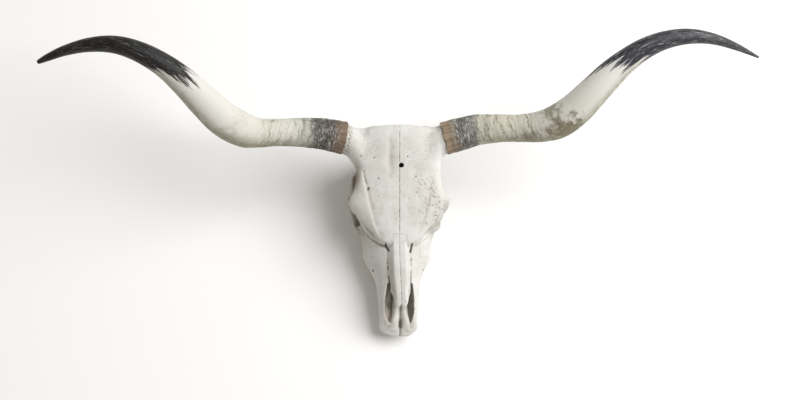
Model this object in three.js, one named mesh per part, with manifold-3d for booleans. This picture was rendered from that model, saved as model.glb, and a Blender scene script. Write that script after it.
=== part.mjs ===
// A longhorn steer skull without its lower jaw, life size, lying at rest on its cheek teeth and on
// the two bony prongs beside the neck joint. Millimetres, +Z up, nose towards -Y, horns along X.
//
// Inside this file a point of the skull is given as (x, t, z): x to the side, t along the floor
// from the poll (the crest between the horns) towards the nose, z above the floor. The horns are
// given in the frame of the face: out to the side, back along the slope of the forehead, and lift
// off that slope.

import * as THREE from 'three';
import { LoftGeometry } from 'three/addons/geometries/LoftGeometry.js';
import { mergeVertices } from 'three/addons/utils/BufferGeometryUtils.js';
import Module from 'manifold-3d';

const wasm = await Module();
wasm.setup();

// ---- Driving dimensions ----

const POLL_HEIGHT = 232; // floor to the crest between the horns
const POLL_BACK = 147; // how far the poll lies behind the part's origin, and to its side:
const POLL_ASIDE = -8; // the origin is under the middle of the whole, and the horns are uneven
const FACE_SLOPE = THREE.MathUtils.degToRad(16); // forehead and nose fall this much from the level
const JOINT_GAP = 0.4; // open seam between neighbouring bones
const SHEATH_GAP = 0.5; // between a horn sheath and the bone that carries it

// Solid masses. Rows: t, height of the widest point, half width, rise above it, drop below it,
// roundness above and below (2 is an ellipse, more is squarer).
const FACE = [
  [150, 104, 44, 44, 40, 2.2, 2.2],
  [174, 100, 72, 72, 58, 2.2, 2.5],
  [215, 84, 84, 84, 54, 1.9, 2.8],
  [257, 72, 84, 83, 45, 1.8, 2.8],
  [293, 66, 82, 77, 38, 1.75, 2.6],
  [322, 66, 67, 70, 35, 1.8, 2.4],
  [350, 67, 55, 60, 32, 1.9, 2.3],
  [385, 65, 49.5, 52, 28, 2.0, 2.3],
  [418, 59, 46.5, 44, 24, 2.1, 2.3],
  [443, 49, 45, 30, 18, 2.2, 2.3],
  [459, 42, 48, 17, 15, 2.2, 2.3],
  [472, 38, 41, 9, 11, 2.2, 2.2],
  [481, 36, 20, 4, 6, 2, 2],
];
const NASALS = [
  [236, 150, 16, 12, 20, 2.2, 2.2],
  [257, 146, 27, 15, 22, 2.4, 2.2],
  [300, 134, 29, 16, 20, 2.4, 2.2],
  [350, 118, 28, 16, 16, 2.3, 2.2],
  [385, 108, 24, 15, 12, 2.2, 2.2],
  [404, 103, 19, 11, 8, 2.2, 2.2],
  [418, 100, 12, 6, 5, 2.2, 2.2],
];
const FOREHEAD = [
  [-4, 206, 34, 10, 14, 2.2, 2.2],
  [0, 205, 64, 20, 22, 2.2, 2.2],
  [9, 201, 80, 29, 28, 2.4, 2.2],
  [28, 196, 86, 33, 30, 2.6, 2.2],
  [54, 190, 93, 32, 30, 2.7, 2.2],
  [84, 182, 102, 30, 28, 2.7, 2.2],
  [112, 172, 103, 32, 24, 2.7, 2.0],
  [140, 162, 108, 34, 18, 2.5, 2.0],
  [168, 153, 121, 35, 12, 2.4, 2.0],
  [184, 151, 121, 33, 12, 2.4, 2.0],
  [206, 147, 102, 29, 13, 2.4, 2.0],
  [226, 142, 83, 27, 14, 2.4, 2.0],
  [246, 140, 64, 24, 14, 2.4, 2.0],
  [262, 139, 51, 20, 14, 2.4, 2.0],
  [273, 138, 38, 17, 14, 2.4, 2.0],
  [281, 137, 22, 14, 14, 2.4, 2.0],
];
const BRAINCASE = [
  [0, 146, 56, 56, 60, 2.4, 2.3],
  [30, 142, 64, 52, 62, 2.4, 2.3],
  [80, 140, 62, 48, 62, 2.4, 2.2],
  [130, 138, 52, 40, 58, 2.2, 2.2],
  [180, 128, 46, 40, 56, 2.2, 2.2],
  [225, 118, 50, 30, 60, 2.2, 2.2],
];
// The back wall. Rows: z, then x and t of its middle, half width, half depth.
const NUCHAL_WALL = [
  [60, 0, 26, 46, 20],
  [84, 0, 24, 74, 23],
  [112, 0, 22, 97, 24],
  [148, 0, 20, 95, 23],
  [184, 0, 17, 88, 20],
  [210, 0, 15, 84, 16],
  [222, 0, 16, 74, 9],
];
const WALL_SQUARENESS = 2.8;

// Eye sockets: points round the rim, x, t, z.
const RIM = [
  [119, 176, 152],
  [103, 202, 147],
  [86, 222, 135],
  [82, 230, 118],
  [90, 222, 102],
  [103, 205, 95],
  [110, 183, 97],
  [112, 159, 112],
  [117, 160, 136],
];
const RIM_THICKNESS = 6.5;
const SOCKET_MASS = { at: [80, 208, 118], radii: [32, 33, 37] };
const SOCKET_HOLLOW = { at: [100, 194, 123], radii: [52, 31, 25] };

// Cheek arch from the face to the ear, x, t, z, with the half height of its blade.
const CHEEK_ARCH = [
  [72, 296, 62, 9],
  [81, 248, 72, 13],
  [93, 214, 84, 13],
  [104, 182, 92, 11],
  [108, 148, 98, 10],
  [107, 114, 103, 11],
  [101, 88, 107, 12],
  [58, 56, 116, 15],
];
const ARCH_HALF_THICKNESS = 6;
const JAW_SEAT = { at: [74, 84, 98], radii: [34, 15, 11] };

// Under the skull.
const SKULL_BASE = [
  [14, 74, 24, 12, 12, 2.4, 2.4],
  [60, 78, 27, 12, 10, 2.4, 2.4],
  [120, 84, 22, 14, 10, 2.4, 2.4],
  [185, 90, 20, 20, 12, 2.4, 2.4],
];
const CONDYLE = { at: [27, 14, 60], radii: [20, 22, 22] };
const EAR_BULB = { at: [50, 58, 70], radii: [13, 17, 22] };
// The prong beside each condyle. Rows: z, x, t, half width, half depth.
const PRONG = [
  [0, 47, 21, 5.5, 7],
  [28, 51, 24, 7, 11],
  [58, 58, 28, 10, 13],
  [86, 66, 30, 16, 13],
];
// The wing of bone behind the palate. Rows: z, x, t, half thickness, half length.
const PALATE_WING = [
  [36, 22, 178, 3, 14],
  [46, 22, 172, 3, 26],
  [70, 23, 158, 3.2, 42],
  [96, 24, 146, 4, 52],
];
// Cheek teeth from the front of the row: length along the row and width.
const TEETH = [[15, 15], [18, 18], [18, 21], [24, 23], [27, 24], [28, 22]];
const TOOTH_ROW = { front: 325, frontX: 49, backX: 61, root: 44, crown: 6 };
// Here each row ends with the place of the bar's middle to the side.
const GUM_BAR = [
  [186, 42, 14, 18, 18, 2.4, 2.4, 62],
  [250, 42, 15, 19, 19, 2.4, 2.4, 60],
  [310, 42, 12, 17, 17, 2.4, 2.4, 52],
  [340, 44, 8, 10, 10, 2.4, 2.4, 46],
];

// Hollows.
const NOSE_HOLLOW = [
  [300, 92, 18, 20, 22, 2.2, 2.2],
  [340, 88, 28, 24, 36, 2.2, 2.2],
  [385, 80, 34, 24, 34, 2.2, 2.2],
  [404, 76, 35, 22, 31, 2.3, 2.3],
  [424, 74, 36, 60, 27, 2.6, 2.4],
  [446, 66, 33, 60, 19, 2.6, 2.4],
  [460, 62, 24, 60, 11, 2.4, 2.2],
  [468, 60, 8, 50, 5, 2.2, 2.2],
];
// The slit beside each nasal bone, seen from above: x and t.
const NOSE_SLIT = [
  [25.5, 350], [27.5, 350], [33, 384], [36, 404], [34, 430], [8, 430], [15, 404], [24.5, 384],
];
// The slots in the front of the palate are closed above.
const PALATE_SLOT = { x: 15, halfWidth: 5.5, from: 404, to: 452, top: 38 };
const FRONT_SLIT = { halfWidth: 1.5, from: 452, to: 490 };
// The pair of rods on the floor of the nose.
const NOSE_ROD = [
  [372, 47, 3.6, 8, 8, 2.2, 2.2],
  [420, 45, 5.0, 8, 9, 2.2, 2.2],
  [458, 40, 8.0, 8, 10, 2.2, 2.2],
];
const NOSE_ROD_X = 6;
const PALATE_HOLLOW = [
  [196, 24, 36, 15, 20, 2.2, 2.2],
  [260, 24, 38, 17, 20, 2.2, 2.2],
  [330, 26, 32, 17, 20, 2.2, 2.2],
  [400, 26, 20, 12, 20, 2.2, 2.2],
  [440, 26, 10, 8, 20, 2.2, 2.2],
];
const THROAT_HOLLOW = [
  [150, 56, 17, 20, 44, 2.4, 2.4],
  [200, 62, 18, 22, 44, 2.4, 2.4],
  [240, 72, 16, 18, 22, 2.4, 2.4],
  [262, 78, 8, 10, 10, 2.2, 2.2],
];
const SPINE_HOLE = { z: 84, radius: 18, depth: 58 };
const FOREHEAD_HOLE = { x: 4, t: 95, radius: 5.5, depth: 26 };
const BROW_HOLE = { x: 75, t: 149, radius: 2.6, depth: 10 };
const CHEEK_HOLE = { x: 62, t: 328, z: 84, radius: 4.5, depth: 20 };

// Seams. A side outline is a list of t and z, and holds all of the bone within it.
const CHEEK_SEAM = {
  inner: 52,
  outline: [
    [118, 80], [118, 124], [138, 124], [151, 127], [190, 124], [211, 146], [246, 142], [269, 149],
    [288, 152], [305, 126], [290, 84], [255, 74], [215, 74], [190, 80], [150, 82],
  ],
};
const CRANIUM_SEAM = [
  [-200, -60], [-200, 400], [283, 400], [283, 151], [269, 149], [246, 142], [211, 146], [190, 112],
  [189, -60],
];
const MUZZLE_SEAM = [[700, -60], [700, 400], [362, 400], [362, 116], [408, 40], [408, -60]];
// The nasal bones lie this deep in the face. Their edge is a list of t and x.
const NASAL_SEAM = { depth: 12, headroom: 60 };
const NASAL_EDGE = [
  [252, 5], [257, 15], [266, 23], [278, 28.5], [300, 29.5], [350, 27], [385, 24], [404, 19], [424, 14],
];

// Horns. Rows: out, back, lift, half width across the face, half width through it.
const LEFT_HORN = [
  [132, -33, -30, 41, 40],
  [166, -26, -27, 39.5, 40],
  [214, -21, -20, 37, 39],
  [286, -21, -5, 33.5, 38],
  [330, -23, 7, 35, 37],
  [368, -18, 20, 41, 36],
  [414, 5, 38, 42, 35],
  [459, 45, 58, 38.5, 33.5],
  [504, 89, 76, 33.5, 31],
  [548, 125, 90, 28.5, 27.5],
  [604, 156, 102, 24.5, 24],
  [659, 172, 106, 21, 20.5],
  [717, 172, 100, 17, 16.5],
  [775, 160, 86, 12.5, 12],
  [816, 145, 74, 9, 8.5],
  [842, 134, 64, 5, 5],
];
const RIGHT_HORN = [
  [112, -33, -30, 41, 40],
  [142, -25, -27, 41, 40],
  [188, -13, -20, 38.5, 39],
  [245, -9, -8, 34.5, 38],
  [291, -9, 4, 34, 37],
  [337, -6, 20, 38, 36],
  [378, 6, 36, 42, 35],
  [418, 35, 52, 41, 34],
  [454, 72, 66, 38, 33],
  [490, 110, 78, 34.5, 31],
  [526, 143, 88, 30, 28.5],
  [571, 174, 97, 26, 25],
  [618, 194, 103, 22.5, 21.5],
  [675, 204, 104, 19, 18],
  [735, 200, 98, 14.2, 13.5],
  [797, 183, 86, 9.3, 9],
  [860, 159, 70, 3, 3],
];
// The bone inside a horn sheath, from the rim until it is lost in the forehead. Rows: share of the
// way in, back, lift, half width across the face and half width through it.
const LEFT_ROOT = {
  reach: 84,
  rows: [
    [0, -34, -31, 36, 35.5],
    [0.17, -41, -32, 37, 35.5],
    [0.33, -52, -33, 44, 36],
    [0.5, -65, -34, 57, 35],
    [0.72, -77, -34, 73, 33],
    [1, -87, -33, 84, 31],
    [1.5, -84, -38, 60, 22],
  ],
};
const RIGHT_ROOT = {
  reach: 52,
  rows: [
    [0, -34, -31, 36, 35.5],
    [0.17, -39, -32, 37, 35.5],
    [0.33, -46, -33, 42, 36],
    [0.5, -58, -34, 55, 35],
    [0.72, -73, -34, 71, 33],
    [1, -87, -33, 84, 31],
    [1.7, -84, -38, 60, 22],
  ],
};

// ---- Materials ----

const boneFinish = (color) => new THREE.MeshStandardMaterial({ color, roughness: 0.75, metalness: 0 });
const FINISHES = {
  cranium: boneFinish(0xe6e3dc),
  face: boneFinish(0xded9ce),
  horn: new THREE.MeshStandardMaterial({ color: 0xb9b3a2, roughness: 0.4, metalness: 0 }),
};

// ---- Shape helpers ----

const at = (x, t, z) => new THREE.Vector3(x, -t, z);

// The values of a table of rows at a place between them, along a smooth curve. The first value of
// a row is its place.
function between(rows, place) {
  let i = 0;
  while (i < rows.length - 2 && place > rows[i + 1][0]) i++;
  const slope = (j) => {
    const [p, q] = [rows[Math.max(j - 1, 0)], rows[Math.min(j + 1, rows.length - 1)]];
    return q.map((value, k) => (value - p[k]) / (q[0] - p[0]));
  };
  const [a, b, leave, arrive] = [rows[i], rows[i + 1], slope(i), slope(i + 1)];
  const span = b[0] - a[0];
  const f = THREE.MathUtils.clamp((place - a[0]) / span, 0, 1);
  const ease = f * f * (3 - 2 * f);
  return a.map((value, k) => {
    const bend = leave[k] * f * (1 - f) ** 2 - arrive[k] * f * f * (1 - f);
    return value + (b[k] - value) * ease + bend * span;
  });
}

// Places through a table: each row's own, and some evenly spaced between.
function places(rows, steps) {
  const found = [];
  rows.slice(1).forEach((row, i) => {
    for (let s = 0; s < steps; s++) found.push(THREE.MathUtils.lerp(rows[i][0], row[0], s / steps));
  });
  return [...found, rows.at(-1)[0]];
}

const bulge = (cosine, power) => Math.sign(cosine) * Math.abs(cosine) ** (2 / power);

// A closed mesh as a solid, turned round if its faces point inwards.
function solid(geometry) {
  const bare = geometry.index ? geometry.toNonIndexed() : geometry.clone();
  bare.deleteAttribute('normal');
  bare.deleteAttribute('uv');
  const merged = mergeVertices(bare, 1e-3);
  const triVerts = new Uint32Array(merged.index.array);
  const make = () =>
    new wasm.Manifold(
      new wasm.Mesh({ numProp: 3, vertProperties: merged.attributes.position.array, triVerts }),
    );
  const made = make();
  if (made.volume() > 0) return made;
  for (let i = 0; i < triVerts.length; i += 3) {
    [triVerts[i + 1], triVerts[i + 2]] = [triVerts[i + 2], triVerts[i + 1]];
  }
  return make();
}

function middleOf(points) {
  return points.reduce((sum, p) => sum.add(p), new THREE.Vector3()).divideScalar(points.length);
}

// A closed skin over a row of sections, whichever way round each section's points are listed.
function loft(sections) {
  const [first, second] = [middleOf(sections[0]), middleOf(sections[1])];
  const turn = new THREE.Vector3();
  sections[0].forEach((p, i) => {
    const before = sections[0].at(i - 1).clone().sub(first);
    turn.add(before.cross(p.clone().sub(first)));
  });
  const forwards = turn.dot(second.sub(first)) > 0;
  const wound = sections.map((points) => (forwards ? points : points.toReversed()));
  return solid(new LoftGeometry(wound, { capStart: true, capEnd: true }));
}

// A mass along the skull, from rows of t, z, half width, rise, drop and roundness.
function mass(rows, { sides = 24, steps = 2, aside = 0 } = {}) {
  return loft(
    places(rows, steps).map((t) => {
      const [, z, half, rise, drop, above, below, x = aside] = between(rows, t);
      return Array.from({ length: sides }, (_, i) => {
        const angle = (2 * Math.PI * i) / sides;
        const [c, s] = [Math.cos(angle), Math.sin(angle)];
        const power = s > 0 ? above : below;
        return at(x + half * bulge(c, power), t, z + (s > 0 ? rise : drop) * bulge(s, power));
      });
    }),
  );
}

// A mass that stands on end, from rows of z, x, t, half width and half depth.
function post(rows, { sides = 8, steps = 1, power = 2.2 } = {}) {
  return loft(
    places(rows, steps).map((z) => {
      const [, x, t, half, deep] = between(rows, z);
      return Array.from({ length: sides }, (_, i) => {
        const angle = (2 * Math.PI * i) / sides;
        return at(x + half * bulge(Math.cos(angle), power), t + deep * bulge(Math.sin(angle), power), z);
      });
    }),
  );
}

function ball({ at: [x, t, z], radii: [rx, rt, rz] }, across = 10, down = 7) {
  const geometry = new THREE.SphereGeometry(1, across, down);
  geometry.scale(rx, rt, rz).translate(x, -t, z);
  return solid(geometry);
}

// A bar swept along a curve. shape gives each step's outward direction, half height and half
// thickness.
function bar(curve, steps, shape, { sides = 6, closed = false } = {}) {
  const sections = Array.from({ length: closed ? steps : steps + 1 }, (_, i) => {
    const f = i / steps;
    const centre = curve.getPoint(f);
    const tangent = curve.getTangent(f);
    const { outward, height, thickness } = shape(f, centre);
    const side = outward.clone().addScaledVector(tangent, -outward.dot(tangent)).normalize();
    const up = new THREE.Vector3().crossVectors(tangent, side);
    return Array.from({ length: sides }, (_, j) => {
      const angle = (2 * Math.PI * j) / sides;
      return centre
        .clone()
        .addScaledVector(side, thickness * Math.cos(angle))
        .addScaledVector(up, height * Math.sin(angle));
    });
  });
  if (closed) return solid(new LoftGeometry([...sections, sections[0]]));
  return loft(sections);
}

// A prism from an outline of t and z, between two places across the skull, swollen by grow.
function sideBlock(outline, from, to, grow = 0) {
  const shape = new THREE.Shape(offset(outline, grow).map(([t, z]) => new THREE.Vector2(-t, z)));
  const geometry = new THREE.ExtrudeGeometry(shape, { depth: to - from + 2 * grow, bevelEnabled: false });
  geometry.applyMatrix4(
    new THREE.Matrix4().makeBasis(
      new THREE.Vector3(0, 1, 0),
      new THREE.Vector3(0, 0, 1),
      new THREE.Vector3(1, 0, 0),
    ),
  );
  geometry.translate(from - grow, 0, 0);
  return solid(geometry);
}

// An outline moved outwards by a small distance.
function offset(outline, distance) {
  if (!distance) return outline;
  const turning = THREE.ShapeUtils.area(outline.map(([a, b]) => new THREE.Vector2(a, b))) > 0 ? 1 : -1;
  const normal = (p, q) => new THREE.Vector2(q[1] - p[1], p[0] - q[0]).normalize().multiplyScalar(turning);
  return outline.map((p, i) => {
    const n = normal(outline.at(i - 1), p).add(normal(p, outline[(i + 1) % outline.length]));
    n.multiplyScalar((2 * distance) / n.lengthSq());
    return [p[0] + n.x, p[1] + n.y];
  });
}

// A prism from an outline of x and t, between two heights.
function plumbBlock(outline, low, high) {
  const shape = new THREE.Shape(outline.map(([x, t]) => new THREE.Vector2(x, -t)));
  return solid(
    new THREE.ExtrudeGeometry(shape, { depth: high - low, bevelEnabled: false }).translate(0, 0, low),
  );
}

// A round hole drilled from a point of the surface, against the outward direction.
function drill(point, outward, radius, depth) {
  const geometry = new THREE.CylinderGeometry(radius, radius, depth * 2, 8);
  geometry.applyQuaternion(
    new THREE.Quaternion().setFromUnitVectors(new THREE.Vector3(0, 1, 0), outward.clone().normalize()),
  );
  return solid(geometry.translate(point.x, point.y, point.z));
}

const mirrored = (body) => body.mirror([1, 0, 0]);
const both = (body) => body.add(mirrored(body));
const largest = (body) => body.decompose().reduce((a, b) => (a.volume() > b.volume() ? a : b));
const joined = (bodies) => bodies.reduce((a, b) => a.add(b));

// ---- Horns ----

const faceBack = new THREE.Vector3(0, Math.cos(FACE_SLOPE), Math.sin(FACE_SLOPE));
const faceLift = new THREE.Vector3(0, -Math.sin(FACE_SLOPE), Math.cos(FACE_SLOPE));

function onFace(side, out, back, lift) {
  const poll = new THREE.Vector3(side * out, 0, POLL_HEIGHT);
  return poll.addScaledVector(faceBack, back).addScaledVector(faceLift, lift);
}

function hornSections(rows, side, steps, sides) {
  const curve = new THREE.CatmullRomCurve3(
    rows.map(([out, back, lift]) => onFace(side, out, back, lift)),
    false,
    'centripetal',
  );
  const count = (rows.length - 1) * steps;
  return Array.from({ length: count + 1 }, (_, i) => {
    const f = i / count;
    const [, , , across, through] = between(
      rows.map((row, k) => [k, ...row.slice(1)]),
      f * (rows.length - 1),
    );
    const tangent = curve.getTangent(f);
    return ring(curve.getPoint(f), tangent, across, through, sides);
  });
}

function ring(centre, tangent, across, through, sides) {
  const flat = new THREE.Vector3().crossVectors(tangent, faceLift).normalize();
  const deep = new THREE.Vector3().crossVectors(flat, tangent);
  return Array.from({ length: sides }, (_, j) => {
    const angle = (2 * Math.PI * j) / sides;
    return centre
      .clone()
      .addScaledVector(flat, across * Math.cos(angle))
      .addScaledVector(deep, through * Math.sin(angle));
  });
}

const sheath = (rows, side) => loft(hornSections(rows, side, 2, 14));

// The bone that carries a sheath, ending just short of the sheath's rim.
function hornRoot(rows, side, root) {
  const [rim, next] = [rows[0], rows[1]].map(([out, back, lift]) => onFace(side, out, back, lift));
  const outward = next.clone().sub(rim).normalize();
  return loft(
    root.rows.map(([share, back, lift, across, through]) => {
      const centre = onFace(side, rows[0][0] - SHEATH_GAP - root.reach * share, back, lift);
      const facing = outward.clone().lerp(new THREE.Vector3(side, 0, 0), Math.min(share, 1)).normalize();
      return ring(centre, facing, across, through, 18);
    }),
  );
}

// ---- The skull as one mass ----

function socketRim() {
  const middle = at(...SOCKET_HOLLOW.at);
  return bar(
    new THREE.CatmullRomCurve3(RIM.map((p) => at(...p)), true),
    18,
    (f, centre) => ({
      outward: centre.clone().sub(middle).setX(0),
      height: RIM_THICKNESS,
      thickness: RIM_THICKNESS,
    }),
    { closed: true },
  );
}

function cheekArch() {
  const curve = new THREE.CatmullRomCurve3(CHEEK_ARCH.map(([x, t, z]) => at(x, t, z)));
  const rows = CHEEK_ARCH.map((row, i) => [i, row[3]]);
  return bar(curve, 11, (f) => ({
    outward: new THREE.Vector3(1, 0, 0.15),
    height: between(rows, f * (rows.length - 1))[1],
    thickness: ARCH_HALF_THICKNESS,
  }));
}

function teeth() {
  let front = TOOTH_ROW.front;
  const rowLength = TEETH.reduce((sum, [length]) => sum + length, 0);
  return TEETH.map(([length, width]) => {
    const middle = front - length / 2;
    const share = (TOOTH_ROW.front - middle) / rowLength;
    const x = THREE.MathUtils.lerp(TOOTH_ROW.frontX, TOOTH_ROW.backX, share);
    front -= length;
    const rows = [
      [0, x, middle, width / 2 - 1, length / 2 - 0.6],
      [TOOTH_ROW.crown, x, middle, width / 2, length / 2 - 0.2],
      [TOOTH_ROW.root, x, middle, width / 2 - 1, length / 2 + 0.4],
    ];
    return post(rows, { power: 3.2 });
  });
}

function skullMass() {
  const sideMasses = [
    ball(SOCKET_MASS, 12, 7),
    cheekArch(),
    ball(JAW_SEAT),
    ball(CONDYLE),
    ball(EAR_BULB),
    post(PRONG),
    post(PALATE_WING),
    mass(GUM_BAR, { sides: 8, steps: 1 }),
  ];
  return joined([
    mass(FACE, { sides: 20, steps: 1 }),
    mass(FOREHEAD, { sides: 24, steps: 1 }),
    mass(BRAINCASE, { sides: 14, steps: 1 }),
    hornRoot(LEFT_HORN, -1, LEFT_ROOT),
    hornRoot(RIGHT_HORN, 1, RIGHT_ROOT),
    mass(SKULL_BASE, { sides: 8, steps: 1 }),
    post(NUCHAL_WALL, { sides: 16, power: WALL_SQUARENESS }),
    both(joined(sideMasses)),
  ]);
}

function hollows() {
  const slot = ({ x, halfWidth, from, to, top }) =>
    plumbBlock([[x - halfWidth, from + 8], [x, from], [x + halfWidth, from + 8], [x + halfWidth, to - 6],
      [x, to], [x - halfWidth, to - 6]], -10, top);
  const { halfWidth, from, to } = FRONT_SLIT;
  const spine = new THREE.CylinderGeometry(1, 1, SPINE_HOLE.depth * 2, 14);
  spine.scale(SPINE_HOLE.radius, 1, SPINE_HOLE.radius).translate(0, 0, SPINE_HOLE.z);
  return joined([
    both(ball(SOCKET_HOLLOW, 14, 8)),
    mass(NOSE_HOLLOW, { sides: 12, steps: 1 }),
    both(plumbBlock(NOSE_SLIT, 84, 200)),
    both(slot(PALATE_SLOT)),
    plumbBlock([[-halfWidth, from], [halfWidth, from], [halfWidth, to], [-halfWidth, to]], -10, 80),
    mass(PALATE_HOLLOW, { sides: 10, steps: 1 }),
    mass(THROAT_HOLLOW, { sides: 10, steps: 1 }),
    solid(spine),
    drill(onFace(1, FOREHEAD_HOLE.x, -FOREHEAD_HOLE.t / Math.cos(FACE_SLOPE), 0), faceLift,
      FOREHEAD_HOLE.radius, FOREHEAD_HOLE.depth),
    both(drill(onFace(1, BROW_HOLE.x, -BROW_HOLE.t / Math.cos(FACE_SLOPE), 0), faceLift,
      BROW_HOLE.radius, BROW_HOLE.depth)),
    both(drill(at(CHEEK_HOLE.x, CHEEK_HOLE.t, CHEEK_HOLE.z), new THREE.Vector3(0.8, -0.6, 0.2),
      CHEEK_HOLE.radius, CHEEK_HOLE.depth)),
  ]);
}

function wholeSkull() {
  const carved = skullMass().subtract(hollows());
  return joined([
    carved,
    mass(NASALS, { sides: 14, steps: 1 }),
    both(socketRim()),
    both(mass(NOSE_ROD, { sides: 8, steps: 1, aside: NOSE_ROD_X })),
    both(joined(teeth())),
  ]);
}

// ---- The skull parted at its seams ----

function nasalTerritory(grow) {
  const rightEdge = NASAL_EDGE.map(([t, x]) => [x, -t / Math.cos(FACE_SLOPE)]);
  const outline = [...rightEdge, ...rightEdge.toReversed().map(([x, y]) => [-x, y])];
  const shape = new THREE.Shape(offset(outline, grow).map(([x, y]) => new THREE.Vector2(x, y)));
  const depth = NASAL_SEAM.depth + NASAL_SEAM.headroom;
  const geometry = new THREE.ExtrudeGeometry(shape, { depth, bevelEnabled: false });
  geometry.translate(0, 0, -NASAL_SEAM.depth - grow);
  geometry.rotateX(FACE_SLOPE).translate(0, 0, POLL_HEIGHT);
  return solid(geometry);
}

function halves(body) {
  const right = sideBlock([[-300, -100], [-300, 500], [700, 500], [700, -100]], JOINT_GAP / 2, 400);
  return { left: largest(body.intersect(mirrored(right))), right: largest(body.intersect(right)) };
}

function partedSkull() {
  const parts = {};
  let rest = wholeSkull();
  const claim = (name, territory) => {
    parts[name] = halves(rest.intersect(territory(0)));
    rest = rest.subtract(territory(JOINT_GAP));
  };
  const cheek = (grow) => both(sideBlock(CHEEK_SEAM.outline, CHEEK_SEAM.inner, 200, grow));
  const muzzle = (grow) => sideBlock(MUZZLE_SEAM, -200, 200, grow);
  const cranium = (grow) => sideBlock(CRANIUM_SEAM, -300, 300, grow);
  claim('nasal', nasalTerritory);
  claim('cheekbone', cheek);
  claim('premaxilla', muzzle);
  parts.cranium = largest(rest.intersect(cranium(0)));
  parts.maxilla = halves(rest.subtract(cranium(JOINT_GAP)));
  return parts;
}

// ---- The model ----

function geometryOf(body) {
  const { vertProperties, triVerts, numProp } = body.getMesh();
  const positions = new Float32Array((vertProperties.length / numProp) * 3);
  for (let i = 0; i < positions.length / 3; i++) {
    positions.set(vertProperties.subarray(i * numProp, i * numProp + 3), i * 3);
  }
  const geometry = new THREE.BufferGeometry();
  geometry.setAttribute('position', new THREE.BufferAttribute(positions, 3));
  geometry.setIndex(new THREE.BufferAttribute(triVerts, 1));
  geometry.computeVertexNormals();
  return geometry;
}

const skull = new THREE.Group();
skull.position.set(POLL_ASIDE, POLL_BACK, 0);

function addMesh(name, body, finish) {
  const mesh = new THREE.Mesh(geometryOf(body), finish);
  mesh.name = name;
  skull.add(mesh);
}

const bones = partedSkull();
addMesh('cranium', bones.cranium, FINISHES.cranium);
for (const bone of ['nasal', 'cheekbone', 'maxilla', 'premaxilla']) {
  for (const side of ['left', 'right']) addMesh(`${bone}_${side}`, bones[bone][side], FINISHES.face);
}
addMesh('horn_left', sheath(LEFT_HORN, -1), FINISHES.horn);
addMesh('horn_right', sheath(RIGHT_HORN, 1), FINISHES.horn);

export default skull;
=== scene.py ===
from functools import lru_cache
from math import cos, hypot, pi, radians, sin

import bmesh
import bpy
import numpy as np
from mathutils import Matrix, Vector, noise


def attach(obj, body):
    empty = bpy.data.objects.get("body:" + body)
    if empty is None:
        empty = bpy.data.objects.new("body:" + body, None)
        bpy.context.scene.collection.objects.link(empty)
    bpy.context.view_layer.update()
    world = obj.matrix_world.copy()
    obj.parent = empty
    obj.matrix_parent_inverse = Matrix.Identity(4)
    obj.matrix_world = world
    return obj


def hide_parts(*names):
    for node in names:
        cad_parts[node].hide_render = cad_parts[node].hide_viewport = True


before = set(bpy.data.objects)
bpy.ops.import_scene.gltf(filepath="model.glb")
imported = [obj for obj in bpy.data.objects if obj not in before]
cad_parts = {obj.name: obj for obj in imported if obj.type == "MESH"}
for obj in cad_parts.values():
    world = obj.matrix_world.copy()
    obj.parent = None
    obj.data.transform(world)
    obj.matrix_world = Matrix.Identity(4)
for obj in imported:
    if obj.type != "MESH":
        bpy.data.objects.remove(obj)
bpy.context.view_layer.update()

# A longhorn steer skull without its lower jaw. Lengths are in millimetres. A point of the skull is
# (x, t, z): x to the side, t along the floor from the poll towards the nose, z above the floor. The
# horns are given in the frame of the face: out to the side, back along the slope of the forehead,
# and lift off that slope.

# The seams wander in the same way on each run.
SEAM_SEED = 3
noise.seed_set(SEAM_SEED)

# ---- Sizes and places ----

MM = 0.001
POLL_HEIGHT = 232
POLL_BACK = 147
POLL_ASIDE = -8
FACE_SLOPE = radians(16)
# The gap at a seam, how far the seam wanders, and over what length.
SEAM = 0.35
SEAM_WANDER = 1.1
SEAM_WAVE = 7
# How fine the skull is, and the steps on the way to it.
VOXEL = 1.85
COARSE_VOXEL = 3
MIDDLE_VOXEL = 2
HOLE_VOXEL = 1.5
# How far the nasal bones and the muzzle lean to the right: in the middle, and at the sides.
MUZZLE_LEAN = (4.8, 1.2)

# Rows of a mass: t, height of the widest point, half width, rise above it, drop below it,
# roundness above and below (2 is an ellipse, more is squarer).
FACE = [
    (150, 104, 44, 44, 40, 2.2, 2.2),
    (174, 100, 72, 72, 58, 2.2, 2.5),
    (215, 84, 84, 84, 54, 1.9, 2.8),
    (257, 72, 84, 83, 45, 1.8, 2.8),
    (293, 66, 82, 77, 38, 1.75, 2.6),
    (322, 66, 67, 70, 35, 1.8, 2.4),
    (350, 67, 55, 60, 32, 1.9, 2.3),
    (385, 65, 50.5, 52, 28, 2.0, 2.3),
    (418, 59, 48, 44, 24, 2.1, 2.3),
    (443, 49, 46, 30, 18, 2.2, 2.3),
    (459, 42, 48, 17, 15, 2.2, 2.2),
    (472, 38, 38, 9, 11, 2.1, 2.1),
    (480, 36, 20, 4, 6, 2, 2),
]
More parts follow.
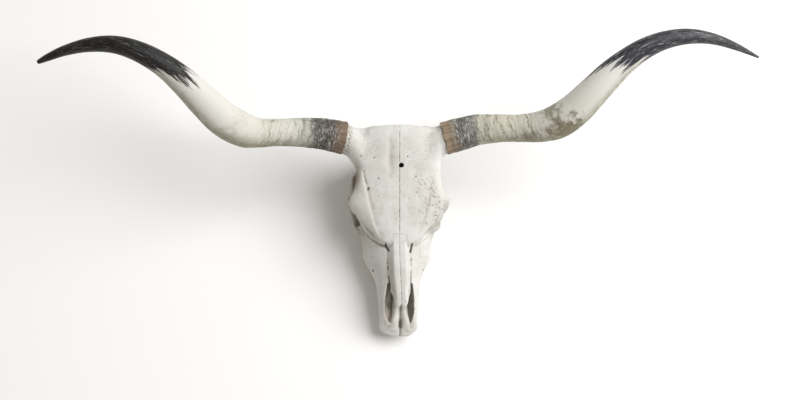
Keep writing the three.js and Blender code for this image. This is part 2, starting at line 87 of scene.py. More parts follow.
# The nasal bones are flat on top: they are cut off at a share of the rise.
NASALS = [
    (236, 147, 10, 16, 20, 1.4, 2.2),
    (257, 145, 20, 25, 22, 1.2, 2.2),
    (275, 140, 26, 28.5, 20, 1.15, 2.2),
    (300, 133, 28, 31, 20, 1.12, 2.2),
    (350, 117, 28, 31, 16, 1.12, 2.2),
    (385, 107, 22, 29, 11, 1.15, 2.2),
    (404, 103, 18, 20, 7, 1.3, 2.2),
    (413, 101, 16, 15, 6, 1.5, 2.2),
    (420, 99, 11, 8, 4, 1.8, 2.2),
]
TIP_NOTCH = [(-3.4, 428), (3.4, 428), (2.6, 418), (0.6, 409), (-0.6, 409), (-2.6, 418)]
NASAL_CROWN = 0.56
FOREHEAD = [
    (-4, 206, 34, 10, 14, 2.2, 2.2),
    (0, 205, 64, 20, 22, 2.2, 2.2),
    (9, 201, 80, 29, 28, 2.4, 2.2),
    (28, 196, 86, 33, 30, 2.6, 2.2),
    (54, 190, 93, 32, 30, 2.7, 2.2),
    (84, 182, 102, 30, 28, 2.7, 2.2),
    (112, 172, 103, 32, 24, 2.7, 2.0),
    (140, 162, 108, 34, 18, 2.5, 2.0),
    (168, 153, 121, 35, 12, 2.4, 2.0),
    (184, 151, 121, 33, 12, 2.4, 2.0),
    (206, 147, 102, 29, 13, 2.4, 2.0),
    (226, 142, 83, 27, 14, 2.4, 2.0),
    (246, 140, 64, 24, 14, 2.4, 2.0),
    (262, 139, 51, 20, 14, 2.4, 2.0),
    (273, 138, 38, 17, 14, 2.4, 2.0),
    (281, 137, 22, 14, 14, 2.4, 2.0),
]
BRAINCASE = [
    (0, 146, 56, 56, 60, 2.4, 2.3),
    (30, 142, 64, 52, 62, 2.4, 2.3),
    (80, 140, 62, 48, 62, 2.4, 2.2),
    (130, 138, 52, 40, 58, 2.2, 2.2),
    (180, 128, 46, 40, 56, 2.2, 2.2),
    (225, 118, 50, 30, 60, 2.2, 2.2),
]
SKULL_BASE = [
    (14, 74, 24, 12, 12, 2.4, 2.4),
    (60, 78, 27, 12, 10, 2.4, 2.4),
    (120, 84, 22, 14, 10, 2.4, 2.4),
    (185, 90, 20, 20, 12, 2.4, 2.4),
]
# Rows of a post: z, then x and t of its middle, half width, half depth.
NUCHAL_WALL = [
    (60, 0, 26, 46, 20),
    (84, 0, 24, 74, 23),
    (112, 0, 22, 97, 24),
    (148, 0, 20, 95, 23),
    (184, 0, 17, 88, 20),
    (210, 0, 15, 84, 16),
    (222, 0, 16, 74, 9),
]
PRONG = [
    (1, 46, 20, 4, 5.5),
    (12, 48, 21, 5.4, 10),
    (34, 52, 24, 6.4, 15),
    (60, 59, 28, 9.5, 17),
    (86, 66, 30, 16, 16),
]
PALATE_WING = [
    (36, 22, 178, 3, 14),
    (46, 22, 172, 3, 26),
    (70, 23, 158, 3.2, 42),
    (96, 24, 146, 4, 52),
]
# As a mass, and each row ends with the place of its middle to the side.
GUM_BAR = [
    (168, 54, 3, 4, 4, 2.0, 2.0, 60),
    (180, 46, 11, 13, 16, 2.4, 2.4, 61.5),
    (194, 42, 14, 18, 18, 2.4, 2.4, 62),
    (250, 42, 15, 19, 19, 2.4, 2.4, 60),
    (310, 42, 12, 17, 17, 2.4, 2.4, 52),
    (334, 47, 9, 11, 13, 2.4, 2.4, 48),
    (360, 56, 3, 4, 4, 2.0, 2.0, 43),
]
# Balls: middle, then radii, each as x, t, z.
SOCKET_MASS = ((78, 208, 110), (31, 31, 32))
SOCKET_HOLLOW = ((100, 194, 123), (52, 31, 25))
JAW_SEAT = ((73, 86, 100), (33, 14, 8))
CONDYLE = ((26, 10, 68), (15, 19, 24))
EAR_BULB = ((50, 60, 76), (12, 15, 19))
# The rim of an eye socket, round from the top: x, t, z.
RIM = [
    (119, 176, 152),
    (103, 202, 147),
    (86, 222, 135),
    (82, 230, 118),
    (90, 222, 102),
    (103, 205, 95),
    (110, 183, 97),
    (112, 159, 112),
    (117, 160, 136),
]
RIM_THICKNESS = 5.6
# Cheek arch from the face to the ear: x, t, z, and the half height of its blade.
CHEEK_ARCH = [
    (72, 296, 62, 9),
    (81, 248, 72, 13),
    (93, 214, 84, 13),
    (104, 182, 92, 11),
    (108, 148, 98, 10),
    (107, 114, 103, 11),
    (101, 88, 107, 12),
    (58, 56, 116, 15),
]
ARCH_HALF_THICKNESS = 6
# Cheek teeth from the front of the row: length along the row and width.
TEETH = [(15, 15), (18, 18), (18, 21), (24, 23), (27, 24), (28, 22)]
TOOTH_ROW = {"front": 325, "front_x": 49, "back_x": 61, "root": 44}

# Hollows.
NOSE_HOLLOW = [
    (300, 92, 18, 20, 22, 2.2, 2.2),
    (340, 88, 28, 24, 33, 2.2, 2.2),
    (385, 80, 34, 24, 26, 2.2, 2.6),
    (404, 76, 35, 22, 23, 2.3, 2.8),
    (424, 74, 36, 60, 21, 2.6, 2.8),
    (444, 66, 31, 60, 15, 2.4, 2.4),
    (457, 62, 22, 60, 11, 2.2, 2.2),
    (467, 60, 9, 50, 5, 2.2, 2.2),
]
PALATE_HOLLOW = [
    (196, 24, 36, 15, 20, 2.2, 2.2),
    (260, 24, 38, 17, 20, 2.2, 2.2),
    (330, 26, 32, 17, 20, 2.2, 2.2),
    (400, 26, 20, 12, 20, 2.2, 2.2),
    (440, 26, 10, 8, 20, 2.2, 2.2),
]
THROAT_HOLLOW = [
    (150, 56, 17, 20, 44, 2.4, 2.4),
    (200, 62, 18, 22, 44, 2.4, 2.4),
    (240, 72, 16, 18, 22, 2.4, 2.4),
    (262, 78, 8, 10, 10, 2.2, 2.2),
]
# As a mass, and each row ends with the place of its middle to the side.
NOSE_ROD = [
    (372, 54, 5.5, 10, 8, 2.2, 2.2, 7.5),
    (404, 56, 8.4, 16, 9, 2.2, 2.2, 9.6),
    (430, 54, 9.6, 17, 10, 2.2, 2.2, 10.8),
    (450, 49, 12.5, 18, 12, 2.2, 2.2, 13.6),
    (468, 40, 15, 12, 10, 2.2, 2.2, 17),
]
NOSE_SLIT = [
    (25.5, 350), (27.5, 350), (33, 384), (36, 404), (34, 430), (8, 430), (15, 404), (24.5, 384),
]
PALATE_SLOT = [(9.5, 412), (15, 404), (20.5, 412), (20.5, 446), (15, 452), (9.5, 446)]
FRONT_SLIT = [(-1.5, 452), (1.5, 452), (1.5, 490), (-1.5, 490)]
SPINE_HOLE = {"x": 0, "t": 0, "z": 84, "outward": (0, 1, 0), "radius": 18, "depth": 30}
EAR_HOLE = {"x": 88, "t": 50, "z": 106, "outward": (1, 0.1, -0.1), "radius": 4.5, "depth": 22}
FOREHEAD_HOLE = {"x": 4, "t": 95, "radius": 5.5, "depth": 26}
BROW_HOLE = {"x": 75, "t": 149, "radius": 2.6, "depth": 10}
CHEEK_HOLE = {"x": 62, "t": 328, "z": 84, "outward": (0.8, -0.6, 0.2), "radius": 4.5, "depth": 20}

# Seams: side outlines of t and z, and the edge of the nasal bones as t and x.
CHEEK_SEAM_INNER = 52
CHEEK_SEAM = [
    (118, 80), (118, 116), (140, 117), (151, 127), (190, 124), (211, 146), (246, 142), (269, 149),
    (288, 152), (305, 126), (290, 84), (255, 74), (215, 74), (190, 80), (150, 82),
]
CRANIUM_SEAM = [
    (-200, -60), (-200, 400), (283, 400), (283, 151), (269, 149), (246, 142), (211, 146), (190, 112),
    (189, -60),
]
MUZZLE_SEAM = [(700, -60), (700, 400), (362, 400), (362, 116), (408, 40), (408, -60)]
WHOLE_SIDE = [(-300, -100), (-300, 500), (700, 500), (700, -100)]
NASAL_EDGE = [
    (253, 9), (256, 14), (267, 19.5), (281, 26.5), (300, 29.5), (350, 27), (385, 24), (404, 19),
    (424, 14),
]
NASAL_DEPTH = 12

# Horns. Rows: out, back, lift, half width across the face, half width through it.
LEFT_HORN = [
    (132, -33, -30, 41, 40),
    (166, -26, -27, 39.5, 40),
    (214, -21, -20, 37, 39),
    (286, -21, -5, 33.5, 38),
    (330, -23, 7, 35, 37),
    (368, -18, 20, 41, 36),
    (414, 5, 38, 42, 35),
    (459, 45, 58, 38.5, 33.5),
    (504, 89, 76, 33.5, 31),
    (548, 125, 90, 28.5, 27.5),
    (604, 156, 102, 24.5, 24),
    (659, 172, 106, 21, 20.5),
    (717, 172, 100, 17, 16.5),
    (775, 160, 86, 12.5, 12),
    (816, 145, 74, 9, 8.5),
    (842, 134, 64, 5, 5),
]
RIGHT_HORN = [
    (112, -33, -30, 41, 40),
    (142, -25, -27, 41, 40),
    (188, -13, -20, 38.5, 39),
    (245, -9, -8, 34.5, 38),
    (291, -9, 4, 34, 37),
    (337, -6, 20, 38, 36),
    (378, 6, 36, 42, 35),
    (418, 35, 52, 41, 34),
    (454, 72, 66, 38, 33),
    (490, 110, 78, 34.5, 31),
    (526, 143, 88, 30, 28.5),
    (571, 174, 97, 26, 25),
    (618, 194, 103, 22.5, 21.5),
    (675, 204, 104, 19, 18),
    (735, 200, 98, 14.2, 13.5),
    (797, 183, 86, 9.3, 9),
    (860, 159, 70, 3, 3),
]
# The bone that carries a sheath, from the rim until it is lost in the forehead. Rows: share of the
# way in, back, lift, half width across the face and through it. A peg of it goes into the sheath.
LEFT_ROOT = {
    "reach": 84,
    "rows": [
        (0, -34, -31, 36, 35.5),
        (0.17, -41, -32, 37, 35.5),
        (0.33, -52, -33, 44, 36),
        (0.5, -65, -34, 57, 35),
        (0.72, -77, -34, 73, 33),
        (1, -87, -33, 84, 31),
        (1.5, -84, -38, 60, 22),
    ],
}
RIGHT_ROOT = {
    "reach": 52,
    "rows": [
        (0, -34, -31, 36, 35.5),
        (0.17, -39, -32, 37, 35.5),
        (0.33, -46, -33, 42, 36),
        (0.5, -58, -34, 55, 35),
        (0.72, -73, -34, 71, 33),
        (1, -87, -33, 84, 31),
        (1.7, -84, -38, 60, 22),
    ],
}
PEG = {"depth": 14, "step": 2}

# ---- Curves and numbers ----

FACE_BACK = Vector((0, cos(FACE_SLOPE), sin(FACE_SLOPE)))
FACE_LIFT = Vector((0, -sin(FACE_SLOPE), cos(FACE_SLOPE)))


def at(x, t, z):
    """A point of the skull, in the part's own frame."""
    return Vector((x + POLL_ASIDE, POLL_BACK - t, z))


def on_face(side, out, back, lift):
    return at(side * out, 0, POLL_HEIGHT) + FACE_BACK * back + FACE_LIFT * lift


def between(rows, place):
    """The values of a table at a place between its rows, along a smooth curve."""
    i = 0
    while i < len(rows) - 2 and place > rows[i + 1][0]:
        i += 1

    def slopes(j):
        p, q = rows[max(j - 1, 0)], rows[min(j + 1, len(rows) - 1)]
        return [(b - a) / (q[0] - p[0]) for a, b in zip(p, q)]

    a, b, leave, arrive = rows[i], rows[i + 1], slopes(i), slopes(i + 1)
    span = b[0] - a[0]
    f = min(max((place - a[0]) / span, 0), 1)
    ease = f * f * (3 - 2 * f)
    out, back = span * f * (1 - f) ** 2, span * f * f * (1 - f)
    return [u + (v - u) * ease + m * out - n * back for u, v, m, n in zip(a, b, leave, arrive)]


def rising(value, start, span):
    """Nothing up to a start, and one from a span after it."""
    return np.clip((value - start) / span, 0, 1)


def falling(value, end, span):
    """One until a span before an end, and nothing after it."""
    return np.clip((end - value) / span, 0, 1)


def sigmoid(value):
    """One far below nought and nothing far above it."""
    return 1 / (1 + np.exp(np.clip(value, -30, 30)))


def bulge(cosine, power):
    return (1 if cosine > 0 else -1) * abs(cosine) ** (2 / power)


# ---- Making shapes ----

# How far apart the rings of a mass stand, and a small step along a curve, as a share of a row.
RING_STEP = 3
NUDGE = 0.01


def skin(shape, along, around, mark=None, closed=False):
    """A closed skin bent from a flat grid: shape gives the point for a share along and an angle."""
    bm = bmesh.new()
    bmesh.ops.create_grid(bm, x_segments=along, y_segments=around, size=0.5)
    layer = bm.verts.layers.float_vector.new("sheath") if mark else None
    for v in bm.verts:
        f, angle = v.co.x + 0.5, 2 * pi * (v.co.y + 0.5)
        if mark:
            v[layer] = mark(f, angle)
        v.co = shape(f, angle)
    bmesh.ops.remove_doubles(bm, verts=bm.verts, dist=1e-4)
    if not closed:
        bmesh.ops.holes_fill(bm, edges=bm.edges, sides=0)
    bmesh.ops.recalc_face_normals(bm, faces=bm.faces)
    return bm


def mass(rows, around=72, crown=1):
    """A mass along the skull, from rows of t, z, half width, rise, drop and roundness."""
    first, last = rows[0][0], rows[-1][0]

    @lru_cache(None)
    def section(f):
        return between(rows, first + (last - first) * f)

    def shape(f, angle):
        t, z, half, rise, drop, above, below, *middle = section(round(f, 6))
        power = above if sin(angle) > 0 else below
        x = (middle[0] if middle else 0) + half * bulge(cos(angle), power)
        lift = min(bulge(sin(angle), power), crown)
        return at(x, t, z + (rise if sin(angle) > 0 else drop) * lift)

    return skin(shape, round((last - first) / RING_STEP), around)


def post(rows, around=40, power=2.2):
    """A mass that stands on end, from rows of z, x, t, half width and half depth."""
    first, last = rows[0][0], rows[-1][0]

    @lru_cache(None)
    def section(f):
        return between(rows, first + (last - first) * f)

    def shape(f, angle):
        z, x, t, half, deep = section(round(f, 6))
        return at(x + half * bulge(cos(angle), power), t + deep * bulge(sin(angle), power), z)

    return skin(shape, round((last - first) / RING_STEP), around)


def ball(place):
    middle, (rx, rt, rz) = place
    bm = bmesh.new()
    bmesh.ops.create_icosphere(bm, subdivisions=4, radius=1)
    bmesh.ops.scale(bm, vec=(rx, rt, rz), verts=bm.verts)
    bmesh.ops.translate(bm, vec=at(*middle), verts=bm.verts)
    return bm


def plumb_block(outline, low, high):
    """A prism from an outline of x and t, between two heights."""
    bm = bmesh.new()
    face = bm.faces.new([bm.verts.new(at(x, t, low)) for x, t in outline])
    top = bmesh.ops.extrude_face_region(bm, geom=[face])["geom"]
    moved = [v for v in top if isinstance(v, bmesh.types.BMVert)]
    bmesh.ops.translate(bm, vec=(0, 0, high - low), verts=moved)
    bmesh.ops.recalc_face_normals(bm, faces=bm.faces)
    return bm


def drill(point, outward, radius, depth):
    """A round hole's shape, drilled from a point against the outward direction."""
    bm = bmesh.new()
    turn = Vector((0, 0, 1)).rotation_difference(outward).to_matrix().to_4x4()
    bmesh.ops.create_cone(
        bm, cap_ends=True, segments=24, radius1=radius, radius2=radius, depth=2 * depth,
        matrix=Matrix.Translation(point) @ turn,
    )
    return bm


def mirrored(bm):
    """A copy on the other side of the skull."""
    twin = bm.copy()
    middle = Matrix.Translation((2 * POLL_ASIDE, 0, 0)) @ Matrix.Scale(-1, 4, (1, 0, 0))
    bmesh.ops.transform(twin, matrix=middle, verts=twin.verts)
    bmesh.ops.reverse_faces(twin, faces=twin.faces)
    return twin


def both(bm):
    return [bm, mirrored(bm)]


def ring(centre, tangent, across, through, angle):
    flat = tangent.cross(FACE_LIFT).normalized()
    return centre + flat * across * cos(angle) + flat.cross(tangent) * through * sin(angle)


def socket_rim():
    count = len(RIM)
    loop = [(i, *RIM[i % count]) for i in range(-1, count + 2)]
    middle = at(*SOCKET_HOLLOW[0])

    @lru_cache(None)
    def step(f):
        here = at(*between(loop, count * f)[1:])
        ahead = at(*between(loop, count * f + NUDGE)[1:]) - here
        outward = here - middle
        outward.x = 0
        side = (outward - ahead.normalized() * outward.dot(ahead.normalized())).normalized()
        return here, side, ahead.normalized().cross(side)

    def shape(f, angle):
        here, side, up = step(round(f % 1, 6))
        return here + RIM_THICKNESS * (side * cos(angle) + up * sin(angle))

    return skin(shape, 120, 24, closed=True)


def cheek_arch():
    rows = [(i, *row) for i, row in enumerate(CHEEK_ARCH)]
    last = len(rows) - 1

    @lru_cache(None)
    def step(f):
        _, x, t, z, tall = between(rows, last * f)
        front, behind = (at(*between(rows, last * f + gap)[1:4]) for gap in (NUDGE, -NUDGE))
        ahead = (front - behind).normalized()
        outward = Vector((1, 0, 0.15))
        side = (outward - ahead * outward.dot(ahead)).normalized()
        return at(x, t, z), side, ahead.cross(side), tall

    def shape(f, angle):
        here, side, up, tall = step(round(f, 6))
        return here + side * ARCH_HALF_THICKNESS * cos(angle) + up * tall * sin(angle)

    return skin(shape, 90, 24)


def horn_root(rows, side, root):
    rim, following = [on_face(side, *row[:3]) for row in rows[:2]]
    outward = (following - rim).normalized()
    out, reach, inner = rows[0][0], root["reach"], root["rows"]
    last = inner[-1][0]

    @lru_cache(None)
    def step(f):
        share, back, lift, across, through = between(inner, max(f, 0) * last)
        facing = outward.lerp(Vector((side, 0, 0)), min(max(share, 0), 1)).normalized()
        centre = on_face(side, out - reach * share, back, lift)
        if f < 0:
            centre += outward * PEG["depth"]
            across, through = across - PEG["step"], through - PEG["step"]
        return centre, facing, across, through

    rings = 60

    def shape(f, angle):
        centre, facing, across, through = step(round((f * rings - 1) / (rings - 1), 6))
        return ring(centre, facing, across, through, angle)

    return skin(shape, rings, 72)


# ---- Objects ----


def object_of(parts, name):
    """One object, in metres, of several bmeshes, which are used up."""
    whole = bmesh.new()
    for bm in parts:
        step = bpy.data.meshes.new("step")
        bm.to_mesh(step)
        bm.free()
        whole.from_mesh(step)
        bpy.data.meshes.remove(step)
    bmesh.ops.scale(whole, vec=(MM, MM, MM), verts=whole.verts)
    mesh = bpy.data.meshes.new(name)
    whole.to_mesh(mesh)
    whole.free()
    obj = bpy.data.objects.new(name, mesh)
    bpy.context.scene.collection.objects.link(obj)
    return obj


def settle(obj):
    """Make an object's modifiers part of its mesh."""
    bpy.context.view_layer.update()
    made = bpy.data.meshes.new_from_object(obj.evaluated_get(bpy.context.evaluated_depsgraph_get()))
    was, obj.data = obj.data, made
    obj.modifiers.clear()
    bpy.data.meshes.remove(was)
    return obj


def remesh(obj, voxel=VOXEL):
    step = obj.modifiers.new("voxels", "REMESH")
    step.mode = "VOXEL"
    step.voxel_size = voxel * MM
    return settle(obj)


def boolean(obj, other, operation):
    step = obj.modifiers.new("cut", "BOOLEAN")
    step.operation, step.object, step.solver = operation, other, "MANIFOLD"
    return settle(obj)


def discard(obj):
    mesh = obj.data
    bpy.data.objects.remove(obj)
    bpy.data.meshes.remove(mesh)


def copy_of(obj, name):
    twin = bpy.data.objects.new(name, obj.data.copy())
    bpy.context.scene.collection.objects.link(twin)
    return twin


def points_of(obj):
    co = np.empty(len(obj.data.vertices) * 3, np.float32)
    obj.data.vertices.foreach_get("co", co)
    return co.reshape(-1, 3).astype(float)


def normals_of(obj):
    co = np.empty(len(obj.data.vertices) * 3, np.float32)
    obj.data.vertex_normals.foreach_get("vector", co)
    return co.reshape(-1, 3).astype(float)


def move_points(obj, points):
    obj.data.vertices.foreach_set("co", points.astype(np.float32).ravel())
    obj.data.update()


def skull_places(obj):
    """The points of an object as columns of x, t and z in millimetres."""
    x, y, z = (points_of(obj) / MM).T
    return x - POLL_ASIDE, POLL_BACK - y, z


def upward(obj):
    """How far each point of the surface faces out of the slope of the face."""
    return normals_of(obj) @ np.array(FACE_LIFT)


def neighbours(obj):
    """Both ends of every edge, and how many edges meet at each point."""
    edges = np.empty(len(obj.data.edges) * 2, np.int32)
    obj.data.edges.foreach_get("vertices", edges)
    a, b = edges.reshape(-1, 2).T
    count = len(obj.data.vertices)
    return a, b, np.maximum(np.bincount(a, minlength=count) + np.bincount(b, minlength=count), 1)


def averaged(column, a, b, degree):
    """The mean of a value over the neighbours of each point."""
    return (np.bincount(a, column[b], len(column)) + np.bincount(b, column[a], len(column))) / degree


def soften(obj, rounds, factors=(0.5, -0.53), share=1):
    """Even a surface out without shrinking it: each round smooths, then swells back."""
    points, ends = points_of(obj), neighbours(obj)
    for _ in range(rounds):
        for factor in factors:
            for k in range(3):
                points[:, k] += share * factor * (averaged(points[:, k], *ends) - points[:, k])
    move_points(obj, points)
    return obj


def forehead_share(obj):
    """Where the bone sweeps over from the forehead to the horns, and down the back of the poll."""
    _, t, z = skull_places(obj)
    share = rising(upward(obj), -0.15, 0.3) * falling(t, 205, 40)
    return np.maximum(share, falling(t, 30, 20) * rising(z, 120, 40))


def socket_share(obj):
    """A little everywhere, and most round the outside of the eye sockets."""
    x, t, z = skull_places(obj)
    place = np.hypot((t - 194) / 36, (z - 123) / 30)
    round_it = rising(place, 0.9, 0.2) * falling(place, 2.1, 0.5)
    round_it *= rising(np.abs(x), 52, 10) * rising(t, 160, 14)
    return 0.22 + 0.78 * round_it


def nose_edge(obj, inner, front, low):
    """The thin edges of the nose opening, outside an inner place, as far as a front and a low one."""
    x, t, z = skull_places(obj)
    share = rising(t, 348, 14) * falling(t, front, 12) * rising(z, low, 8)
    return share * rising(np.abs(x), inner, 4) * falling(np.abs(x), 44, 5)


def filled(obj, rounds, share):
    """Fill the creases between masses by a share at each point, so that they run into each other."""
    points, normals, ends = points_of(obj), normals_of(obj), neighbours(obj)
    for _ in range(rounds):
        moved = np.stack([averaged(points[:, k], *ends) - points[:, k] for k in range(3)], axis=1)
        rise = np.maximum((moved * normals).sum(axis=1), 0) * share
        points += normals * rise[:, None]
    move_points(obj, points)
    return obj


# ---- The skull as one mass ----


def large_masses():
    return [
        mass(FACE), mass(FOREHEAD, around=120), mass(BRAINCASE),
        post(NUCHAL_WALL, around=96, power=2.8),
        horn_root(LEFT_HORN, -1, LEFT_ROOT), horn_root(RIGHT_HORN, 1, RIGHT_ROOT),
    ] + both(ball(SOCKET_MASS))


def small_masses():
    sides = [
        cheek_arch(), ball(JAW_SEAT), ball(CONDYLE), ball(EAR_BULB), post(PRONG), post(PALATE_WING),
        mass(GUM_BAR, around=40),
    ]
    return [mass(SKULL_BASE)] + [bm for side in sides for bm in both(side)]


def hole(place):
    """A hole's shape, drilled along its own direction."""
    return drill(
        at(place["x"], place["t"], place["z"]), Vector(place["outward"]).normalized(),
        place["radius"], place["depth"],
    )


def face_hole(place):
    """A hole's shape, drilled square to the slope of the face."""
    point = on_face(1, place["x"], -place["t"] / cos(FACE_SLOPE), 0)
    return drill(point, FACE_LIFT, place["radius"], place["depth"])


def hollows():
    pairs = [
        ball(SOCKET_HOLLOW), plumb_block(NOSE_SLIT, 84, 200), plumb_block(PALATE_SLOT, -10, 38),
        face_hole(BROW_HOLE), hole(CHEEK_HOLE), hole(EAR_HOLE),
    ]
    return [
        mass(NOSE_HOLLOW), plumb_block(FRONT_SLIT, -10, 80), mass(PALATE_HOLLOW), mass(THROAT_HOLLOW),
        hole(SPINE_HOLE), face_hole(FOREHEAD_HOLE),
    ] + [bm for pair in pairs for bm in both(pair)]


def joined(obj, parts):
    """An object's mesh with more closed bodies in it."""
    more = object_of(parts, "more")
    whole = bmesh.new()
    whole.from_mesh(obj.data)
    whole.from_mesh(more.data)
    whole.to_mesh(obj.data)
    whole.free()
    discard(more)
    return obj


def nasal_bones():
    """Both nasal bones, with the notch between their tips."""
    bones = object_of([mass(NASALS, crown=NASAL_CROWN)], "nasals")
    notch = object_of([plumb_block(TIP_NOTCH, 70, 150)], "notch")
    made = bmesh.new()
    made.from_mesh(boolean(bones, notch, "DIFFERENCE").data)
    bmesh.ops.scale(made, vec=(1 / MM, 1 / MM, 1 / MM), verts=made.verts)
    discard(notch)
    discard(bones)
    return made


def whole_skull():
    skull = soften(remesh(object_of(large_masses(), "skull"), COARSE_VOXEL), 12)
    soften(filled(skull, 140, forehead_share(skull)), 16)
    skull = soften(remesh(joined(skull, small_masses() + both(socket_rim())), MIDDLE_VOXEL), 6)
    skull = soften(remesh(filled(skull, 90, socket_share(skull))), 6)
    holes = remesh(object_of(hollows(), "holes"), HOLE_VOXEL)
    boolean(skull, holes, "DIFFERENCE")
    discard(holes)
    joined(skull, [nasal_bones(), *both(mass(NOSE_ROD, around=40))])
    skull = soften(remesh(skull), 9)
    soften(skull, 24, share=nose_edge(skull, 20, 466, 46))
    return carve(soften(skull, 9, (0.5,), nose_edge(skull, 24, 450, 66)))


# ---- Relief of the bone ----

# Lines and places on the bone, as x and t.
BROW_RIDGE = [(86, 112), (81, 150), (76, 175), (70, 198), (61, 226), (51, 249), (46, 264)]
BROW_GROOVE = [(75, 149), (71, 172), (64, 196)]
TEAR_EDGE = [(104, 206), (91, 226), (76, 245), (62, 258), (50, 268), (33, 279)]
LEFT_CLEFT = [(-33, 276), (-26, 290)]
RIGHT_CLEFT = [(31, 276), (27, 293)]
POLL_HOLLOW = (-20, 72, 13, 62)
PITS = [(19, 76), (-61, 78), (-93, 74), (-51, 126), (39, 122), (11, 409)]
CRUMBLED = (76, 178, 46, 62)
RAGGED = (116, 188, 13, 30)
CRUST = (93, 214, 17, 20)
FLAKED_EDGE = [(34, 104), (66, 132), (88, 156), (106, 188)]
LEFT_CREVICE = [(-87, 108), (-84, 124), (-80, 138)]
# Places on the left side with painted shade: beside the forehead, and under the eye socket.
LEFT_TEMPLE_SHADE = (-103, 118, 13, 30)
LEFT_SOCKET_SHADE = (-98, 222, 18, 26)
MUZZLE_CHIP = (-37, 470, 4, 5)
COLLAR = 14


def line_distance(x, t, line):
    """Distance from a line of points, with its sign: plus on one side and minus on the other."""
    best, side = np.full(len(x), 1e9), np.ones(len(x))
    for (ax, start), (bx, end) in zip(line, line[1:]):
        dx, dt = bx - ax, end - start
        f = np.clip(((x - ax) * dx + (t - start) * dt) / (dx * dx + dt * dt), 0, 1)
        gap = np.hypot(x - ax - f * dx, t - start - f * dt)
        nearer = gap < best
        side = np.where(nearer, np.sign(dx * (t - start) - dt * (x - ax)), side)
        best = np.minimum(best, gap)
    return best * side


def hump(distance, width):
    """One at the middle of a line, falling smoothly to nothing."""
    return np.exp(-((distance / width) ** 2))


def blot(x, t, place):
    """One at a place, falling smoothly to nothing about its radii away."""
    cx, ct, rx, rt = place
    return np.exp(-1.6 * (((x - cx) / rx) ** 2 + ((t - ct) / rt) ** 2))


def rough(x, t, z, size, seed=0):
    """Even noise between about minus one and one, one value for each point."""
    places = zip(x / size + seed, t / size, z / size)
    return np.array([noise.noise(Vector(place)) for place in places])


def pitted(x, t):
    """Single small pits."""
    return np.maximum.reduce([hump(np.hypot(x - px, t - pt), 1.5) for px, pt in PITS])


def midline_gap(t, x):
    flat = t * 0
    return np.abs(x - 1.4 * rough(flat, t, flat, 9) - 0.7 * rough(flat, t, flat, 3.5, 8))


def rim_distance(obj, rows, side):
    """How far each point lies in from the rim of a sheath, along the horn."""
    rim, following = [on_face(side, *row[:3]) for row in rows[:2]]
    outward = (following - rim).normalized()
    return -(points_of(obj) / MM - np.array(rim)) @ np.array(outward)


def crumbs(obj, x, t, z):
    """Where the bone has weathered to a crumbling crust, and how deep its pits are."""
    fine = rough(x, t, z, 3.1, 40)
    flakes = rough(0.76 * x - 0.65 * t, 0.32 * x + 0.38 * t, z, 4.6, 20)
    pits = np.clip(1.2 * flakes + 0.7 * fine - 0.06, 0, 1)
    band = hump(line_distance(x, t, FLAKED_EDGE), 13) * (x > 0)
    patchy = np.clip(0.3 + 0.8 * band + 1.2 * rough(x, t, z, 17, 60), 0, 1)
    brow = np.maximum(blot(x, t, CRUMBLED) * patchy, blot(x, t, CRUST))
    brow *= rising(upward(obj), -0.1, 0.4)
    left, right = rim_distance(obj, LEFT_HORN, -1), rim_distance(obj, RIGHT_HORN, 1)
    collar = np.clip(1.4 - 1.4 * np.abs(left - 5) / COLLAR, 0, 1) * (x < 0)
    collar += 0.5 * np.clip(1.4 - 1.4 * np.abs(right - 3) / COLLAR, 0, 1) * (x > 0)
    pits = np.where(blot(x, t, RAGGED) > 0.35, np.clip(0.45 + 1.3 * fine, 0, 1), pits)
    return np.maximum(brow, 0.8 * blot(x, t, RAGGED)), collar * (np.abs(x) > 80), pits


